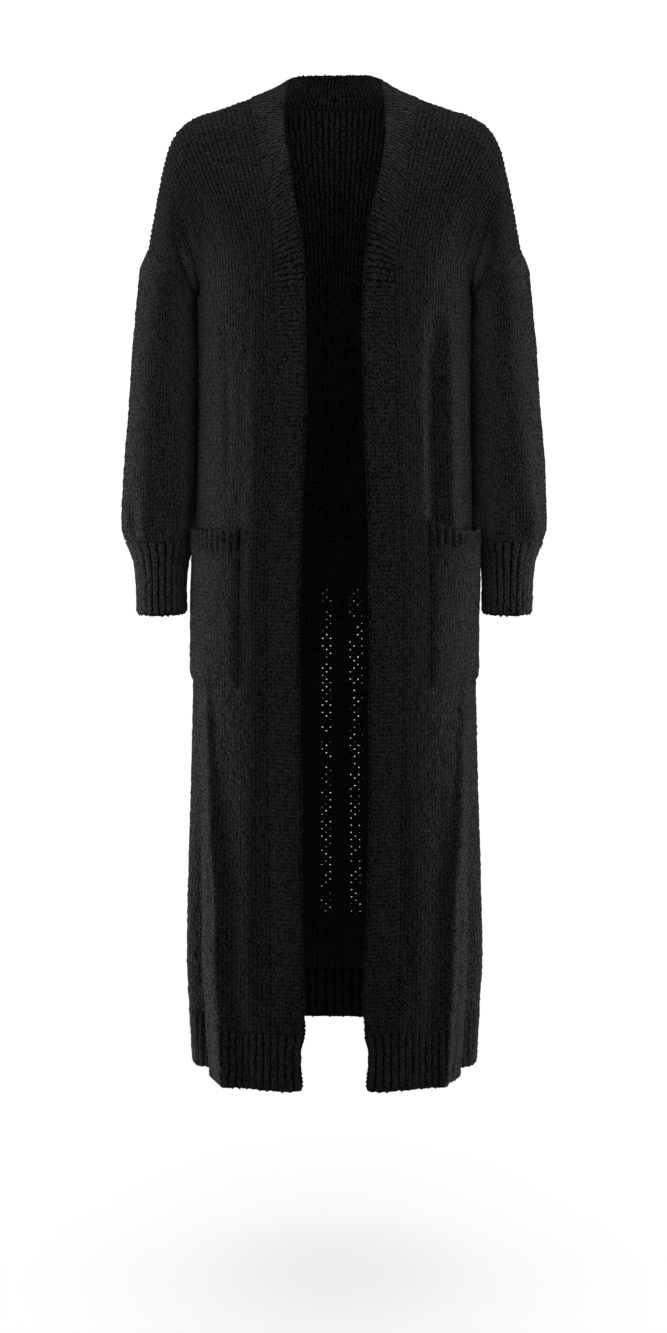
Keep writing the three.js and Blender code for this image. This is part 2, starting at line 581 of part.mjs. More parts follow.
function build() {
  const group = new THREE.Group();
  const put = (name, geometry, yarn) => {
    const mesh = new THREE.Mesh(geometry, new THREE.MeshStandardMaterial(yarn));
    mesh.name = name;
    group.add(mesh);
  };
  const middle = BACK_COLUMNS / 2;
  const frontEnd = FRONT_STEPS.length - 1;
  const lastRow = YOKE_ROWS + ROW_HEIGHTS.length - 1;
  const range = (from, to) => Array.from({ length: to - from + 1 }, (_, i) => from + i);

  const back = panel(backGrid(), 1);
  const backHem = panel(backHemGrid(), 1);
  const band = panel(bandGrid(), 1);
  const bandMiddle = (band.grid[0].length - 1) / 2;
  sew(back, backHem, range(0, BACK_COLUMNS).map((c) => [[lastRow, c], [0, c]]));
  sew(back, band, range(1 - NECK_STEPS, NECK_STEPS - 1).map((i) => [[0, middle + i], [1, bandMiddle + i]]));

  const halves = SIDES.map(({ name, sign }) => {
    const front = panel(frontGrid(sign), -sign);
    const hem = panel(frontHemGrid(sign), -sign);
    const sleeve = panel(sleeveGrid(sign, front.grid, back.grid), sign, true);
    const cuff = panel(cuffGrid(sign), sign, true);
    const sideColumn = middle + sign * middle;
    shoulderNormals(sign, front, back, band, bandMiddle + sign * NECK_STEPS);
    sew(front, back, range(YOKE_ROWS + 1, lastRow).map((r) => [[r, frontEnd], [r, sideColumn]]));
    sew(hem, backHem, range(0, HEM_HEIGHTS.length - 1).map((r) => [[r, frontEnd + 1], [r, sideColumn]]));
    sew(front, band, range(1, lastRow).map((r) => [[r, 0], [1, bandMiddle + sign * (NECK_STEPS + r)]]));
    sew(front, hem, range(0, frontEnd).map((c) => [[lastRow, c], [0, c + 1]]));
    sew(front, sleeve, range(0, YOKE_ROWS).map((r) => [[r, frontEnd], [0, r]]));
    sew(back, sleeve, range(1, YOKE_ROWS - 1).map((r) => [[r, sideColumn], [0, 2 * YOKE_ROWS - r]]));
    sew(sleeve, cuff, range(0, 2 * YOKE_ROWS - 1).map((c) => [[SLEEVE_ROWS, c], [0, c]]));
    return { name, sign, front, hem, sleeve, cuff };
  });

  for (const { name, sign, front, hem, sleeve, cuff } of halves) {
    const pocket = panel(pocketPanel(front, POCKETS.find((shape) => shape.side === sign)), -sign);
    for (const edge of ["top", "bottom", "start", "end"]) drawBack(front, edge);
    for (const edge of ["top", "end"]) drawBack(hem, edge);
    for (const edge of ["top", "bottom"]) drawBack(sleeve, edge);
    drawBack(cuff, "top");
    const hemSteps = (c) => (c === 0 ? END_RIB_STEPS : RIB_STEPS);
    const pocketRibs = (r, f) => ribs(r, f) * (r < 2 ? 1 : POCKET_LOW_RIB);
    put(`front_${name}`, clothWall(front), YARN);
    put(`hem_${name}`, clothWall(hem, hemSteps, ribs), RIBBED_YARN);
    put(`sleeve_${name}`, clothWall(sleeve), YARN);
    put(`cuff_${name}`, clothWall(cuff, () => CUFF_RIB_STEPS, ribs), RIBBED_YARN);
    put(`pocket_${name}`, clothWall(pocket, () => RIB_STEPS, pocketRibs), YARN);
  }
  for (const edge of ["top", "bottom", "start", "end"]) drawBack(back, edge);
  for (const edge of ["top", "start", "end"]) drawBack(backHem, edge);
  for (const edge of ["start", "end", "bottom"]) drawBack(band, edge);
  const [, seamLine] = band.grid;
  const bandSteps = (c) => 2 * Math.max(1, Math.round(seamLine[c].distanceTo(seamLine[c + 1]) / BAND_RIB));
  const bandRibs = (r, f) => ribs(r, f) * (r === 0 ? 1 : BAND_SEAM_RIB);
  put("back", clothWall(back), YARN);
  put("hem_back", clothWall(backHem, () => RIB_STEPS, ribs), RIBBED_YARN);
  put("front_band", clothWall(band, bandSteps, bandRibs), RIBBED_YARN);
  return group;
}

export default build();
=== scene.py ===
"""Dresses the solids of a long, open-front knitted cardigan in cloth that shows its stitches.

Each piece is a grid of points worked out from the same sizes as its solid, with two grid steps to a wale
or a course, so that wales, ribs and loops are raised in the mesh. Left and right are the viewer's, seen
from the front: left is at -X, and the front faces -Y. Sizes are in millimetres until a mesh is made.
"""
import functools
import math
from collections import namedtuple

import bpy
import numpy as np
from bpy.props import FloatProperty, FloatVectorProperty, PointerProperty
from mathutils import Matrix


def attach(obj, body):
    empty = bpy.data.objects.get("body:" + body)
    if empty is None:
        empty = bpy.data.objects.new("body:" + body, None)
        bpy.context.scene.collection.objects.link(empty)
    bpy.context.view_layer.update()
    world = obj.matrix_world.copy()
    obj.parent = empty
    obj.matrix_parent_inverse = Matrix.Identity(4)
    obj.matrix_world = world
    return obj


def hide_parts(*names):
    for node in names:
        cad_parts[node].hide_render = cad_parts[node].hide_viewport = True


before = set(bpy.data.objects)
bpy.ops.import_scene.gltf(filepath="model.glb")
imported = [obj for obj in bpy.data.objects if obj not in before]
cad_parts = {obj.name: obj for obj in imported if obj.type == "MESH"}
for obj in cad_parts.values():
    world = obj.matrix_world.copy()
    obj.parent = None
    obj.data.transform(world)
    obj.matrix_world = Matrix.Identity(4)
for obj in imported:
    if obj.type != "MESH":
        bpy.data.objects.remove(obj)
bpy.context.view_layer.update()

bl_info = {
    "name": "Knitted Cardigan",
    "version": (1, 0, 0),
    "blender": (4, 5, 0),
    "location": "View3D > Sidebar > Cardigan",
    "description": "Builds a long open-front cardigan in thick plain and ribbed knit",
    "category": "Add Mesh",
}

MM = 0.001

# Heights that the pieces share
ARMPIT_Z = -225
RIB_TOP_Z = -1064
HEM_Z = -1129
POCKET_TOP_Z = -490
POCKET_RIB_Z = -515
POCKET_BOTTOM_Z = -668
CUFF_TOP_Z = -508
CUFF_END_Z = -592
SQUARENESS = 2.5  # exponent of the body's rounded outline, 2 for an ellipse

# Stitches: each wale, course or rib takes this many steps of the grid
WALE_STEPS = 2
COURSE_STEPS = 2
RIB_STEPS = 4
YOKE_COURSES = 48
BODY_COURSES = 178
FRONT_WALES = 38
BACK_WALES = 48  # half of the back
SLEEVE_WALES = 68
SLEEVE_COURSES = 60  # below the armhole's edge
ARMHOLE_COURSES = 6  # from the armhole's edge to the sleeve's first ring
CUFF_RIBS = 24
CUFF_COURSES = 18
FRONT_HEM_RIBS = 24
BAND_HEM_RIBS = 4  # below the band
HEM_COURSES = 14
BAND_STEPS = 16  # across the band
NECK_RIBS = 14  # round half of the neck
POCKET_RIBS = 14
POCKET_COURSES = 38
POCKET_SHARES = (0.2, 0.92)  # of the front's width

RIB_LIFTS = {"hem": 0.55, "cuff": 0.8}  # height of the ribs, as a share of unstretched ones'
HEM_INSET = 3.5  # how far the hem's ribbing draws the band in, over its first rows
HEM_INSET_HEIGHT = 22
HEM_FLARE = 1.8  # how far it turns out again from a third of its height down
HEM_FLARE_DROP = 30
NECK_CORNER = 5 / 12  # share of the back's half width at the neck end of the shoulder seam
SHOULDER_STATION = 4  # the row of NECK_SEAM and NECK_EDGE at the shoulder seam
SHOULDER_Y = 8
ARM_TURN = 0.42  # share of the front's width from which its wales turn towards the arm
ROW_SAMPLES = 181  # points along a row of the body, before they are spaced evenly
EASE_STEPS = 8  # grid steps over which a seam's lean fades out into a piece


def table(columns, rows):
    """A small table as named columns."""
    return dict(zip(columns.split(), np.array(rows, float).T))


# The body's outline at each height: half its width, and how far it reaches to the front and to the back
BODY = table("z half front back", [
    (-150, 160, 112, 112),
    (-225, 158, 120, 110),
    (-300, 157, 124, 106),
    (-400, 158, 126, 104),
    (-490, 161, 128, 108),
    (-560, 165, 130, 115),
    (-650, 166, 132, 121),
    (-760, 169, 134, 128),
    (-880, 173, 136, 135),
    (-1000, 177, 138, 142),
    (-1070, 174, 141, 147),
    (-1129, 171, 143, 151),
])

# Half the front opening's width, and the band's width beside it
OPENING = table("z half band", [
    (-225, 33.5, 33),
    (-300, 33.2, 34),
    (-400, 35.5, 35),
    (-510, 38.8, 36),
    (-620, 41, 36),
    (-760, 40, 36.5),
    (-900, 38.4, 37),
    (-1010, 36.2, 37),
    (-1129, 36.6, 37),
])

# The band round the neck, from the middle of the back to the chest: its seam and its free edge, for x above 0
NECK_SEAM = [
    (0, 86, -1), (36, 83, 0.5), (68, 68, 4), (88, 42, 5.5), (97, 8, 0),
    (94, -15, -24), (87, -38, -59), (80, -64, -97), (73.5, -88, -136), (68, -106, -178),
]
NECK_EDGE = [
    (0, 76, 38), (26, 72, 37.5), (46, 60, 35), (55, 41, 27), (58, 15, 8),
    (59.5, -7, -21), (58.5, -32, -45), (54.5, -61, -77), (47.5, -88, -118), (38.5, -109, -163),
]

# The shoulder seam's x and z, from the neck over the shoulder and down the upper arm to the dropped sleeve
SHOULDER = [
    (97, 0), (128, -11), (160, -21.5), (178, -34), (190, -53), (199, -85), (208, -128), (216, -170),
]

# Handles of the curves that the yoke's wales follow: across, depth reached, down, and the same at the end
FRONT_NECK = (0, -42, 22, 0, -22, 106)
FRONT_ARM = (-6, -68, 10, 4, 74, -6)
BACK_NECK = (0, 97, 45, 0, -2, 80)
BACK_SHOULDER = (0, 92, 6, 0, 4, 90)
BACK_ARM = (-6, 88, 10, 4, -78, -6)

# Vertical folds of the body. The angles are degrees round from the front's middle; wide is half the width.
# depth is above 0 for a ridge and below 0 for a trough. It has faded out at the heights high and low.
# low is None for a fold that runs off the hem.
Fold = namedtuple("Fold", "side high low high_angle low_angle wide depth fade")
FOLDS = [Fold(*row) for row in (
    (-1, -640, None, 74, 66, 13, -19, 320),
    (-1, -640, None, 56, 42, 12, 9, 320),
    (1, -640, None, 74, 66, 13, -15, 320),
    (1, -640, None, 56, 42, 12, 7, 320),
    (-1, -230, -640, 28, 30, 8, 2.4, 110),
    (-1, -230, -1090, 22, 22, 8, -3.5, 120),
    (1, -225, -640, 42, 44, 9.5, -13, 100),
    (1, -235, -640, 53, 54, 9, 2.2, 100),
    (-1, -980, None, 9, 6, 8, -7, 120),
    (1, -980, None, 9, 6, 8, -7, 120),
    (-1, -560, None, 122, 126, 15, -12, 380),
    (1, -600, None, 124, 129, 14, -13, 360),
    (-1, -620, None, 158, 160, 14, -9, 380),
    (1, -660, None, 163, 156, 15, -8, 360),
    (-1, -250, -620, 118, 122, 12, -7, 120),
    (1, -250, -620, 116, 121, 12, -8, 120),
)]
# Softer folds, which the solids leave out
SOFT_FOLDS = [Fold(*row) for row in (
    (-1, -690, None, 30, 27, 8, 1.0, 200),
    (-1, -760, None, 45, 52, 6, -1.2, 150),
    (1, -720, None, 28, 31, 8, 0.8, 210),
    (1, -830, None, 49, 45, 6, -2.4, 130),
    (-1, -330, -620, 58, 61, 6, -1.2, 90),
    (1, -300, -560, 66, 70, 6, -2, 90),
    (-1, -240, -470, 47, 44, 5, -1.8, 80),
    (1, -700, -1040, 20, 22, 5, -1.8, 110),
    (-1, -700, None, 139, 142, 8, 3.4, 240),
    (1, -640, None, 143, 141, 9, 3, 260),
    (-1, -300, -700, 141, 137, 8, -2.6, 130),
    (1, -330, -760, 146, 149, 8, -2.8, 140),
    (-1, -880, None, 172, 169, 7, 2.4, 150),
    (1, -930, None, 174, 171, 6, -2, 120),
    (-1, -360, -600, 168, 171, 7, -2, 90),
    (1, -820, None, 101, 104, 7, 3, 180),
    (-1, -760, None, 97, 101, 7, 2.6, 200),
    (-1, -620, -950, 60, 42, 5.2, 4.3, 90),
    (-1, -850, None, 44.5, 40.5, 4.8, 3.3, 95),
    (1, -620, -940, 63, 44.5, 5.5, 4, 90),
    (1, -840, None, 47, 41.5, 5.5, 4, 95),
)]

# The crease between the chest and the arm, in shares of the yoke's width and height, and its depth
Crease = namedtuple("Crease", "top bottom wide depth start")
ARM_CREASE = Crease(0.6, 0.8, 0.15, 15, 0.3)
SHARP_CREASE = Crease(0.6, 0.8, 0.07, 1.2, 0.25)

# The sleeve below the armhole: its centre, half its width and depth, and how much its outer side is raised
SLEEVE = table("z x y across deep tilt", [
    (-223, 193.5, 8, 32.3, 58.5, 26),
    (-252, 195.5, 13, 35, 60, 15),
    (-300, 198, 20, 39, 61, 7),
    (-364, 201.5, 24, 41.5, 61, 3),
    (-421, 204.5, 24, 44, 60, 0),
    (-470, 206, 21, 44, 59, 0),
    (-492, 206.5, 18, 43.5, 57, 0),
    (-508, 206.5, 15, 40, 53, 0),
    (-520, 205.5, 12, 35.5, 46.5, 0),
    (-535, 205, 9, 31, 41, 0),
    (-560, 204.5, 4, 28.6, 38, 0),
    (-592, 204, -2, 28.4, 36.5, 0),
])

# Soft folds of the sleeves: the side, the height and angle of the middle in degrees from the outer side
# round the front, half the height and half the width in degrees, and the depth
SleeveFold = namedtuple("SleeveFold", "side z angle tall wide depth lean")
SLEEVE_FOLDS = [SleeveFold(*row) for row in (
    (-1, -300, 118, 70, 30, -2.2, 0.12),
    (-1, -345, 62, 80, 26, 1.8, -0.1),
    (-1, -430, 96, 70, 24, -2.2, 0.16),
    (-1, -462, 30, 46, 26, 2, 0.2),
    (-1, -400, 250, 90, 34, -2.6, 0.1),
    (-1, -455, 300, 50, 28, 2, -0.2),
    (1, -310, 58, 80, 28, -2, -0.12),
    (1, -372, 112, 80, 26, -2.4, 0.1),
    (1, -440, 70, 60, 24, 2, 0.14),
    (1, -470, 132, 40, 22, -2, -0.2),
    (1, -380, 262, 90, 32, -2.4, -0.1),
    (1, -450, 212, 50, 26, 1.8, 0.2),
    (-1, -282, 180, 62, 40, 2.6, 0),
    (1, -276, 172, 62, 44, 4.9, 0),
)]
GATHER_WAVES = ((7, 1.5), (11, 1.1), (17, 0.6))  # waves round the sleeve's end, and depth
GATHER_TOP = (75, 12)  # heights above the cuff between which the waves rise
GATHER_END = (0, 10)  # and between which they fade out
EDGE_WAVES = ((0.8, 61, 1), (0.5, 23, 2), (0.3, 11, 0))  # of the band's edge: depth, length / 2 pi, phase
BAND_CROWN = 1.2
UNDULATION = 0.5  # of all the cloth

# How far each pocket's mouth stands off the front, how far its top edge sags, how far down it gapes, and how
# far its corners are pulled up
Pocket = namedtuple("Pocket", "gape sag reach rise")
POCKETS = {-1: Pocket(3, 5, 60, 0), 1: Pocket(9, 15, 120, 9)}
POCKET_LIFT = 4.1  # from the front to the pocket, wall and stitches included
SEWN_LIFT = 2.4  # along its sewn edges
SEWN_SLOPE = 10  # width over which it rises from there
FRONT_WIDTH = 200
POCKET_RIB_COURSES = (7, 5)  # where the pocket's ribbed top ends
SLIT_TOP = (0.4, 1.2)  # courses between which its slits start
SLIT_END = (6.5, 4.5)  # and between which they end

SIDES = {"left": -1, "right": 1}
FREE_BULGE = 1.3  # how far a free edge is rounded outwards
SEWN_BULGE = 0.6  # how far a sewn edge reaches into its neighbour
FREE_DIP = 0.5
SEWN_DIP = 0.8  # depth of the groove along a seam
RIM_SHADE = 1.3  # of the turned edge between the two skins, as on a seam
# How much a seam shows, by kind of piece and edge, as the depth of its groove and as painted shade along it:
# most are linked loop to loop and hardly show
SEAMS = {("front", "start"): 0.6, ("band", "bottom"): 0.6, ("pocket", "start"): 0.5, ("pocket", "end"): 0.5,
         ("pocket", "bottom"): 0.4, ("front", "top"): 0.4, ("back", "top"): 0.4, ("sleeve", "top"): 0.3}
FAINT_SEAM = 0.2
SLIT_SHADE = 2.6  # of the slits in the pockets' ribs, which the mouth's stretch opens

# The borders of a grid
BORDERS = {"start": np.s_[:, 0], "end": np.s_[:, -1], "top": np.s_[0], "bottom": np.s_[-1]}

# Scales of noise in the knit: its features are about a scale's inverse across, in metres
DRIFT_SCALES = (70, 210)  # 14 mm, and one loop
CLUMP_SCALE = 370  # clumps of brushed fibres, 2 to 3 mm across as on thick boucle
FIBRE_SCALE = 950  # single fibres, drawn 1 mm across so that they show
TUFT_SCALE = 200  # tufts of loose fibres, 5 mm across
TONE_RANGE = 1.15  # of the knit's height, from the darkest gap to the palest loop
SEAM_TONE = -0.8
BUMP_HEIGHT = 0.9 * MM

# Pinholes: the two columns' middle and half their distance, and where they fade out, in metres
PINHOLE_MIDDLE = 0.0085
PINHOLE_ASIDE = 0.018
PINHOLE_COLUMN = (0.006, 0.014)
PINHOLE_TOP = (-0.62, -0.5)
PINHOLE_BOTTOM = (-0.98, -1.03)
PINHOLE_SIZE = 0.17  # the largest radius, as a share of a stitch: 0.9 mm


def smoothstep(low, high, value):
    """0 below low and 1 above high, with a soft rise of 3t squared less 2t cubed in between."""
    t = np.clip((value - low) / (high - low), 0, 1)
    return t * t * (3 - 2 * t)


def unit(vectors):
    """The vectors made one long."""
    return vectors / np.maximum(np.linalg.norm(vectors, axis=-1, keepdims=True), 1e-9)


def read_table(rows, key, at, column):
    """A cubic Hermite curve through the rows. Its slope at a row is that between the rows beside it."""
    keys, values = rows[key], rows[column]
    if keys[0] > keys[-1]:
        keys, values = keys[::-1], values[::-1]
    numbers = np.arange(len(keys))
    before = np.maximum(numbers - 1, 0)
    after = np.minimum(numbers + 1, len(keys) - 1)
    slopes = (values[after] - values[before]) / (keys[after] - keys[before])
    at = np.clip(at, keys[0], keys[-1])
    i = np.clip(np.searchsorted(keys, at) - 1, 0, len(keys) - 2)
    span = keys[i + 1] - keys[i]
    t = (at - keys[i]) / span
    u = 1 - t
    ends = (1 + 2 * t) * u * u * values[i] + t * t * (3 - 2 * t) * values[i + 1]
    return ends + span * t * u * (u * slopes[i] - t * slopes[i + 1])


def folds_at(side, angle, z, bridged):
    """Sum of the folds, in mm outwards: each is a raised cosine across, faded in and out along its height.

    Folds that end behind the pocket are left out where the cloth bridges them.
    """
    total = np.zeros(np.broadcast(angle, z).shape)
    for fold in FOLDS + SOFT_FOLDS:
        if fold.side != side or (bridged and fold.low is not None and fold.high > POCKET_TOP_Z):
            continue
        low = HEM_Z - fold.fade if fold.low is None else fold.low
        share = np.clip((fold.high - z) / (fold.high - max(low, HEM_Z)), 0, 1)
        centre = fold.high_angle + (fold.low_angle - fold.high_angle) * share
        off = np.minimum(np.abs(angle - centre) / fold.wide, 1)
        fade = smoothstep(0, fold.fade, fold.high - z) * smoothstep(0, fold.fade, z - low)
        total += fold.depth * fade * (0.5 + 0.5 * np.cos(np.pi * off))
    return total


def body_point(side, angle, z, bridged=False):
    """A rounded rectangle's outline, x = half sin(a)^p and y = deep cos(a)^p, moved outwards by the folds."""
    half = read_table(BODY, "z", z, "half")
    turn = np.radians(angle)
    front = np.cos(turn) > 0
    deep = np.where(front, read_table(BODY, "z", z, "front"), read_table(BODY, "z", z, "back"))
    power = 2 / SQUARENESS
    x = half * np.abs(np.sin(turn)) ** power
    y = np.where(front, -1, 1) * deep * np.abs(np.cos(turn)) ** power
    out_x, out_y = x / half**2, y / deep**2
    push = folds_at(side, angle, z, bridged) / np.hypot(out_x, out_y)
    return np.stack([side * (x + out_x * push), y + out_y * push, np.broadcast_to(z, x.shape)], axis=-1)


def angle_across(x, z):
    """The angle on the body's front at which a point lies x from the middle."""
    return np.degrees(np.arcsin((x / read_table(BODY, "z", z, "half")) ** (SQUARENESS / 2)))


def band_angles(z):
    """The angles of the band's free edge and of its seam."""
    half = read_table(OPENING, "z", z, "half")
    return angle_across(half, z), angle_across(half + read_table(OPENING, "z", z, "band"), z)


def spaced(lines, shares):
    """Points at these shares of each line's length, for an array of lines."""
    lengths = np.linalg.norm(np.diff(lines, axis=1), axis=2).cumsum(axis=1)
    known = np.pad(lengths, ((0, 0), (1, 0))) / lengths[:, -1:]
    offset = 2 * np.arange(len(lines))[:, None]
    wanted = (np.asarray(shares)[None] + offset).ravel()
    read = [np.interp(wanted, (known + offset).ravel(), lines[..., k].ravel()) for k in range(3)]
    return np.stack(read, axis=1).reshape(len(lines), len(shares), 3)


def body_rows(side, heights, start, end, shares, bridged=False):
    """Rows round the body: points at these shares of the way along the cloth between two angles."""
    heights = np.asarray(heights, float)
    first, last = np.broadcast_to(start, heights.shape), np.broadcast_to(end, heights.shape)
    angles = first[:, None] + (last - first)[:, None] * np.linspace(0, 1, ROW_SAMPLES)
    return spaced(body_point(side, angles, heights[:, None], bridged), shares)


def smooth_curve(points, at):
    """A centripetal Catmull-Rom curve through points, read at numbers from 0 to the last point's."""
    points = np.asarray(points, float)
    points = np.vstack([2 * points[0] - points[1], points, 2 * points[-1] - points[-2]])
    i = np.clip(np.floor(at).astype(int), 0, len(points) - 4)
    t = (at - i)[:, None]
    a, b, c, d = (points[i + k] for k in range(4))
    pairs = ((a, b), (b, c), (c, d))
    before, middle, after = (np.linalg.norm(q - p, axis=1)[:, None] ** 0.5 for p, q in pairs)
    leave = middle * ((b - a) / before - (c - a) / (before + middle) + (c - b) / middle)
    arrive = middle * ((c - b) / middle - (d - b) / (middle + after) + (d - c) / after)
    bend = 3 * (c - b) - 2 * leave - arrive
    return b + t * leave + t * t * bend + t**3 * (2 * (b - c) + leave + arrive)


def neck_line(side, line, stations):
    """The band's seam or free edge, from the middle of the back's neck to the armpit's height."""
    armpit = np.array([ARMPIT_Z])
    mirror = np.array([side, 1, 1])
    end = body_point(side, band_angles(armpit)[0 if line is NECK_EDGE else 1], armpit) * mirror
    return smooth_curve(np.vstack([line, end]), stations) * mirror


def along_shoulder(side, shares):
    """Points at these shares of the shoulder seam's length."""
    points = [(x, SHOULDER_Y, z) for x, z in SHOULDER]
    line = smooth_curve(points, np.linspace(0, len(points) - 1, 401))
    return spaced(line[None], shares)[0] * np.array([side, 1, 1])


def mix(a, b, share):
    """Rows that go from a to b."""
    return np.asarray(a, float) + (np.asarray(b, float) - np.asarray(a, float)) * np.asarray(share)[:, None]


def yoke(side, facing, tops, bottoms, handles, across, down):
    """Wales as cubic Bezier curves from tops to bottoms, with the crease beside the arm pushed in."""
    first = np.stack([tops[:, 0] + side * handles[:, 0], handles[:, 1], tops[:, 2] - handles[:, 2]], axis=1)
    last = bottoms - np.stack([side * handles[:, 3], handles[:, 4], -handles[:, 5]], axis=1)
    t = down[:, None, None]
    u = 1 - t
    points = u**3 * tops + 3 * u * u * t * first + 3 * u * t * t * last + t**3 * bottoms
    for crease in (ARM_CREASE, SHARP_CREASE):
        line = crease.top + (crease.bottom - crease.top) * down[:, None]
        off = np.minimum(np.abs(across - line) / crease.wide, 1)
        push = crease.depth * smoothstep(crease.start, 0.95, down)[:, None]
        points[..., 1] -= facing * push * (0.5 + 0.5 * np.cos(np.pi * off))
    return points


# Places of the rows down the yoke, and heights of those below it and in the hem
DOWN = np.linspace(0, 1, COURSE_STEPS * YOKE_COURSES + 1)
BODY_HEIGHTS = np.linspace(ARMPIT_Z, RIB_TOP_Z, COURSE_STEPS * BODY_COURSES + 1)
HEM_HEIGHTS = np.linspace(RIB_TOP_Z, HEM_Z, COURSE_STEPS * HEM_COURSES + 1)


def front_yoke(side, across, down):
    """The front above the armpit, pulled onto the band's seam at its inner edge."""
    armpit = np.array([ARMPIT_Z])
    tops = along_shoulder(side, across)
    bottoms = body_rows(side, armpit, band_angles(armpit)[1], 90, across)[0]
    handles = mix(FRONT_NECK, FRONT_ARM, smoothstep(ARM_TURN, 1, across))
    points = yoke(side, -1, tops, bottoms, handles, across, down)
    seam_edge = yoke(side, -1, tops[:1], bottoms[:1], handles[:1], across[:1], down)
    if across[0] > 0:
        return points
    stations = SHOULDER_STATION + (len(NECK_SEAM) - SHOULDER_STATION) * down
    shift = neck_line(side, NECK_SEAM, stations)[:, None] - seam_edge
    return points + shift * ((1 - across) ** 2)[None, :, None]


def front_points(side):
    """The front: its yoke, and below it rows from the band's seam to the side seam."""
    across = np.linspace(0, 1, WALE_STEPS * FRONT_WALES + 1)
    heights = BODY_HEIGHTS[1:]
    return np.concatenate([
        front_yoke(side, across, DOWN),
        body_rows(side, heights, band_angles(heights)[1], 90, across),
    ])


def back_yoke(side, across, down):
    """Half of the back above the armpit: its tops follow the neckline and then the shoulder seam."""
    on_neck = across <= NECK_CORNER
    tops = np.empty((len(across), 3))
    tops[on_neck] = neck_line(side, NECK_SEAM, SHOULDER_STATION * across[on_neck] / NECK_CORNER)
    tops[~on_neck] = along_shoulder(side, (across[~on_neck] - NECK_CORNER) / (1 - NECK_CORNER))
    bottoms = body_rows(side, [ARMPIT_Z], 180, 90, across)[0]
    near = mix(BACK_NECK, BACK_SHOULDER, smoothstep(0, NECK_CORNER, across))
    handles = mix(near, BACK_ARM, smoothstep(NECK_CORNER + 0.1, 1, across))
    return yoke(side, 1, tops, bottoms, handles, across, down)


def both_halves(half):
    """A piece over both sides, from its half as a function of the side, columns from the middle outwards."""
    return np.concatenate([half(-1)[:, ::-1], half(1)[:, 1:]], axis=1)


def back_points():
    """The back: its yoke, and below it rows from side seam to side seam."""
    across = np.linspace(0, 1, WALE_STEPS * BACK_WALES + 1)
    return both_halves(lambda side: np.concatenate([
        back_yoke(side, across, DOWN),
        body_rows(side, BODY_HEIGHTS[1:], 180, 90, across),
    ]))


def band_points():
    """The band: straight across from its free edge to its seam, a little crowned, its edge a little wavy."""
    neck = np.linspace(0, SHOULDER_STATION, RIB_STEPS * NECK_RIBS + 1)
    stations = np.concatenate([neck, SHOULDER_STATION + (len(NECK_SEAM) - SHOULDER_STATION) * DOWN[1:]])
    heights = BODY_HEIGHTS[1:]

    def half(side):
        angles = band_angles(heights)
        edge = np.vstack([neck_line(side, NECK_EDGE, stations), body_point(side, angles[0], heights)])
        seam = np.vstack([neck_line(side, NECK_SEAM, stations), body_point(side, angles[1], heights)])
        length = np.r_[0, np.linalg.norm(np.diff(edge, axis=0), axis=1).cumsum()]
        wave = sum(depth * np.sin(length / wide + phase * side) for depth, wide, phase in EDGE_WAVES)
        edge = edge + unit(edge - seam) * (wave * smoothstep(0, 120, length))[:, None]
        t = np.linspace(0, 1, BAND_STEPS + 1)[:, None, None]
        return edge * (1 - t) + seam * t

    return both_halves(half)


def front_hem_points(side):
    """The front's hem ribbing: ribs below the band, then ribs to the side seam."""
    seam = band_angles(HEM_HEIGHTS)[1]
    drawn_in = HEM_INSET * smoothstep(RIB_TOP_Z, RIB_TOP_Z - HEM_INSET_HEIGHT, HEM_HEIGHTS)
    drawn_in -= HEM_FLARE * smoothstep(RIB_TOP_Z - HEM_FLARE_DROP, HEM_Z, HEM_HEIGHTS)
    edge = angle_across(read_table(OPENING, "z", HEM_HEIGHTS, "half") + drawn_in, HEM_HEIGHTS)
    below_band = body_rows(side, HEM_HEIGHTS, edge, seam, np.linspace(0, 1, RIB_STEPS * BAND_HEM_RIBS + 1))
    rest = body_rows(side, HEM_HEIGHTS, seam, 90, np.linspace(0, 1, RIB_STEPS * FRONT_HEM_RIBS + 1))
    return np.concatenate([below_band, rest[:, 1:]], axis=1)


def back_hem_points():
    """The back's hem ribbing, under the back."""
    across = np.linspace(0, 1, RIB_STEPS * FRONT_HEM_RIBS + 1)
    return both_halves(lambda side: body_rows(side, HEM_HEIGHTS, 180, 90, across))


def sleeve_rings(side, heights, turns):
    """Ellipses round the arm, from the outer side round the front, the inner side and the back."""
    z = heights[:, None]
    a = 2 * np.pi * turns[None]
    x, y, across, deep, tilt = (read_table(SLEEVE, "z", z, name) for name in "x y across deep tilt".split())
    return np.stack([side * (x + across * np.cos(a)), y - deep * np.sin(a), z + tilt * np.cos(a)], axis=-1)


def sleeve_folds(side, heights, turns):
    """Soft bumps and hollows, each a bell across a slanted line, and the gathers above the cuff."""
    z = heights[:, None]
    angle = 360 * turns[None]
    total = np.zeros((len(heights), len(turns)))
    for fold in SLEEVE_FOLDS:
        if fold.side != side:
            continue
        off = (angle - fold.angle - fold.lean * (z - fold.z) + 180) % 360 - 180
        total += fold.depth * np.exp(-((off / fold.wide) ** 2) - ((z - fold.z) / fold.tall) ** 2)
    gathered = smoothstep(*GATHER_TOP, z - CUFF_TOP_Z) * smoothstep(*GATHER_END, z - CUFF_TOP_Z)
    for number, (waves, depth) in enumerate(GATHER_WAVES):
        total += depth * gathered * np.sin(np.radians(angle) * waves + 1.7 * number + side)
    return total


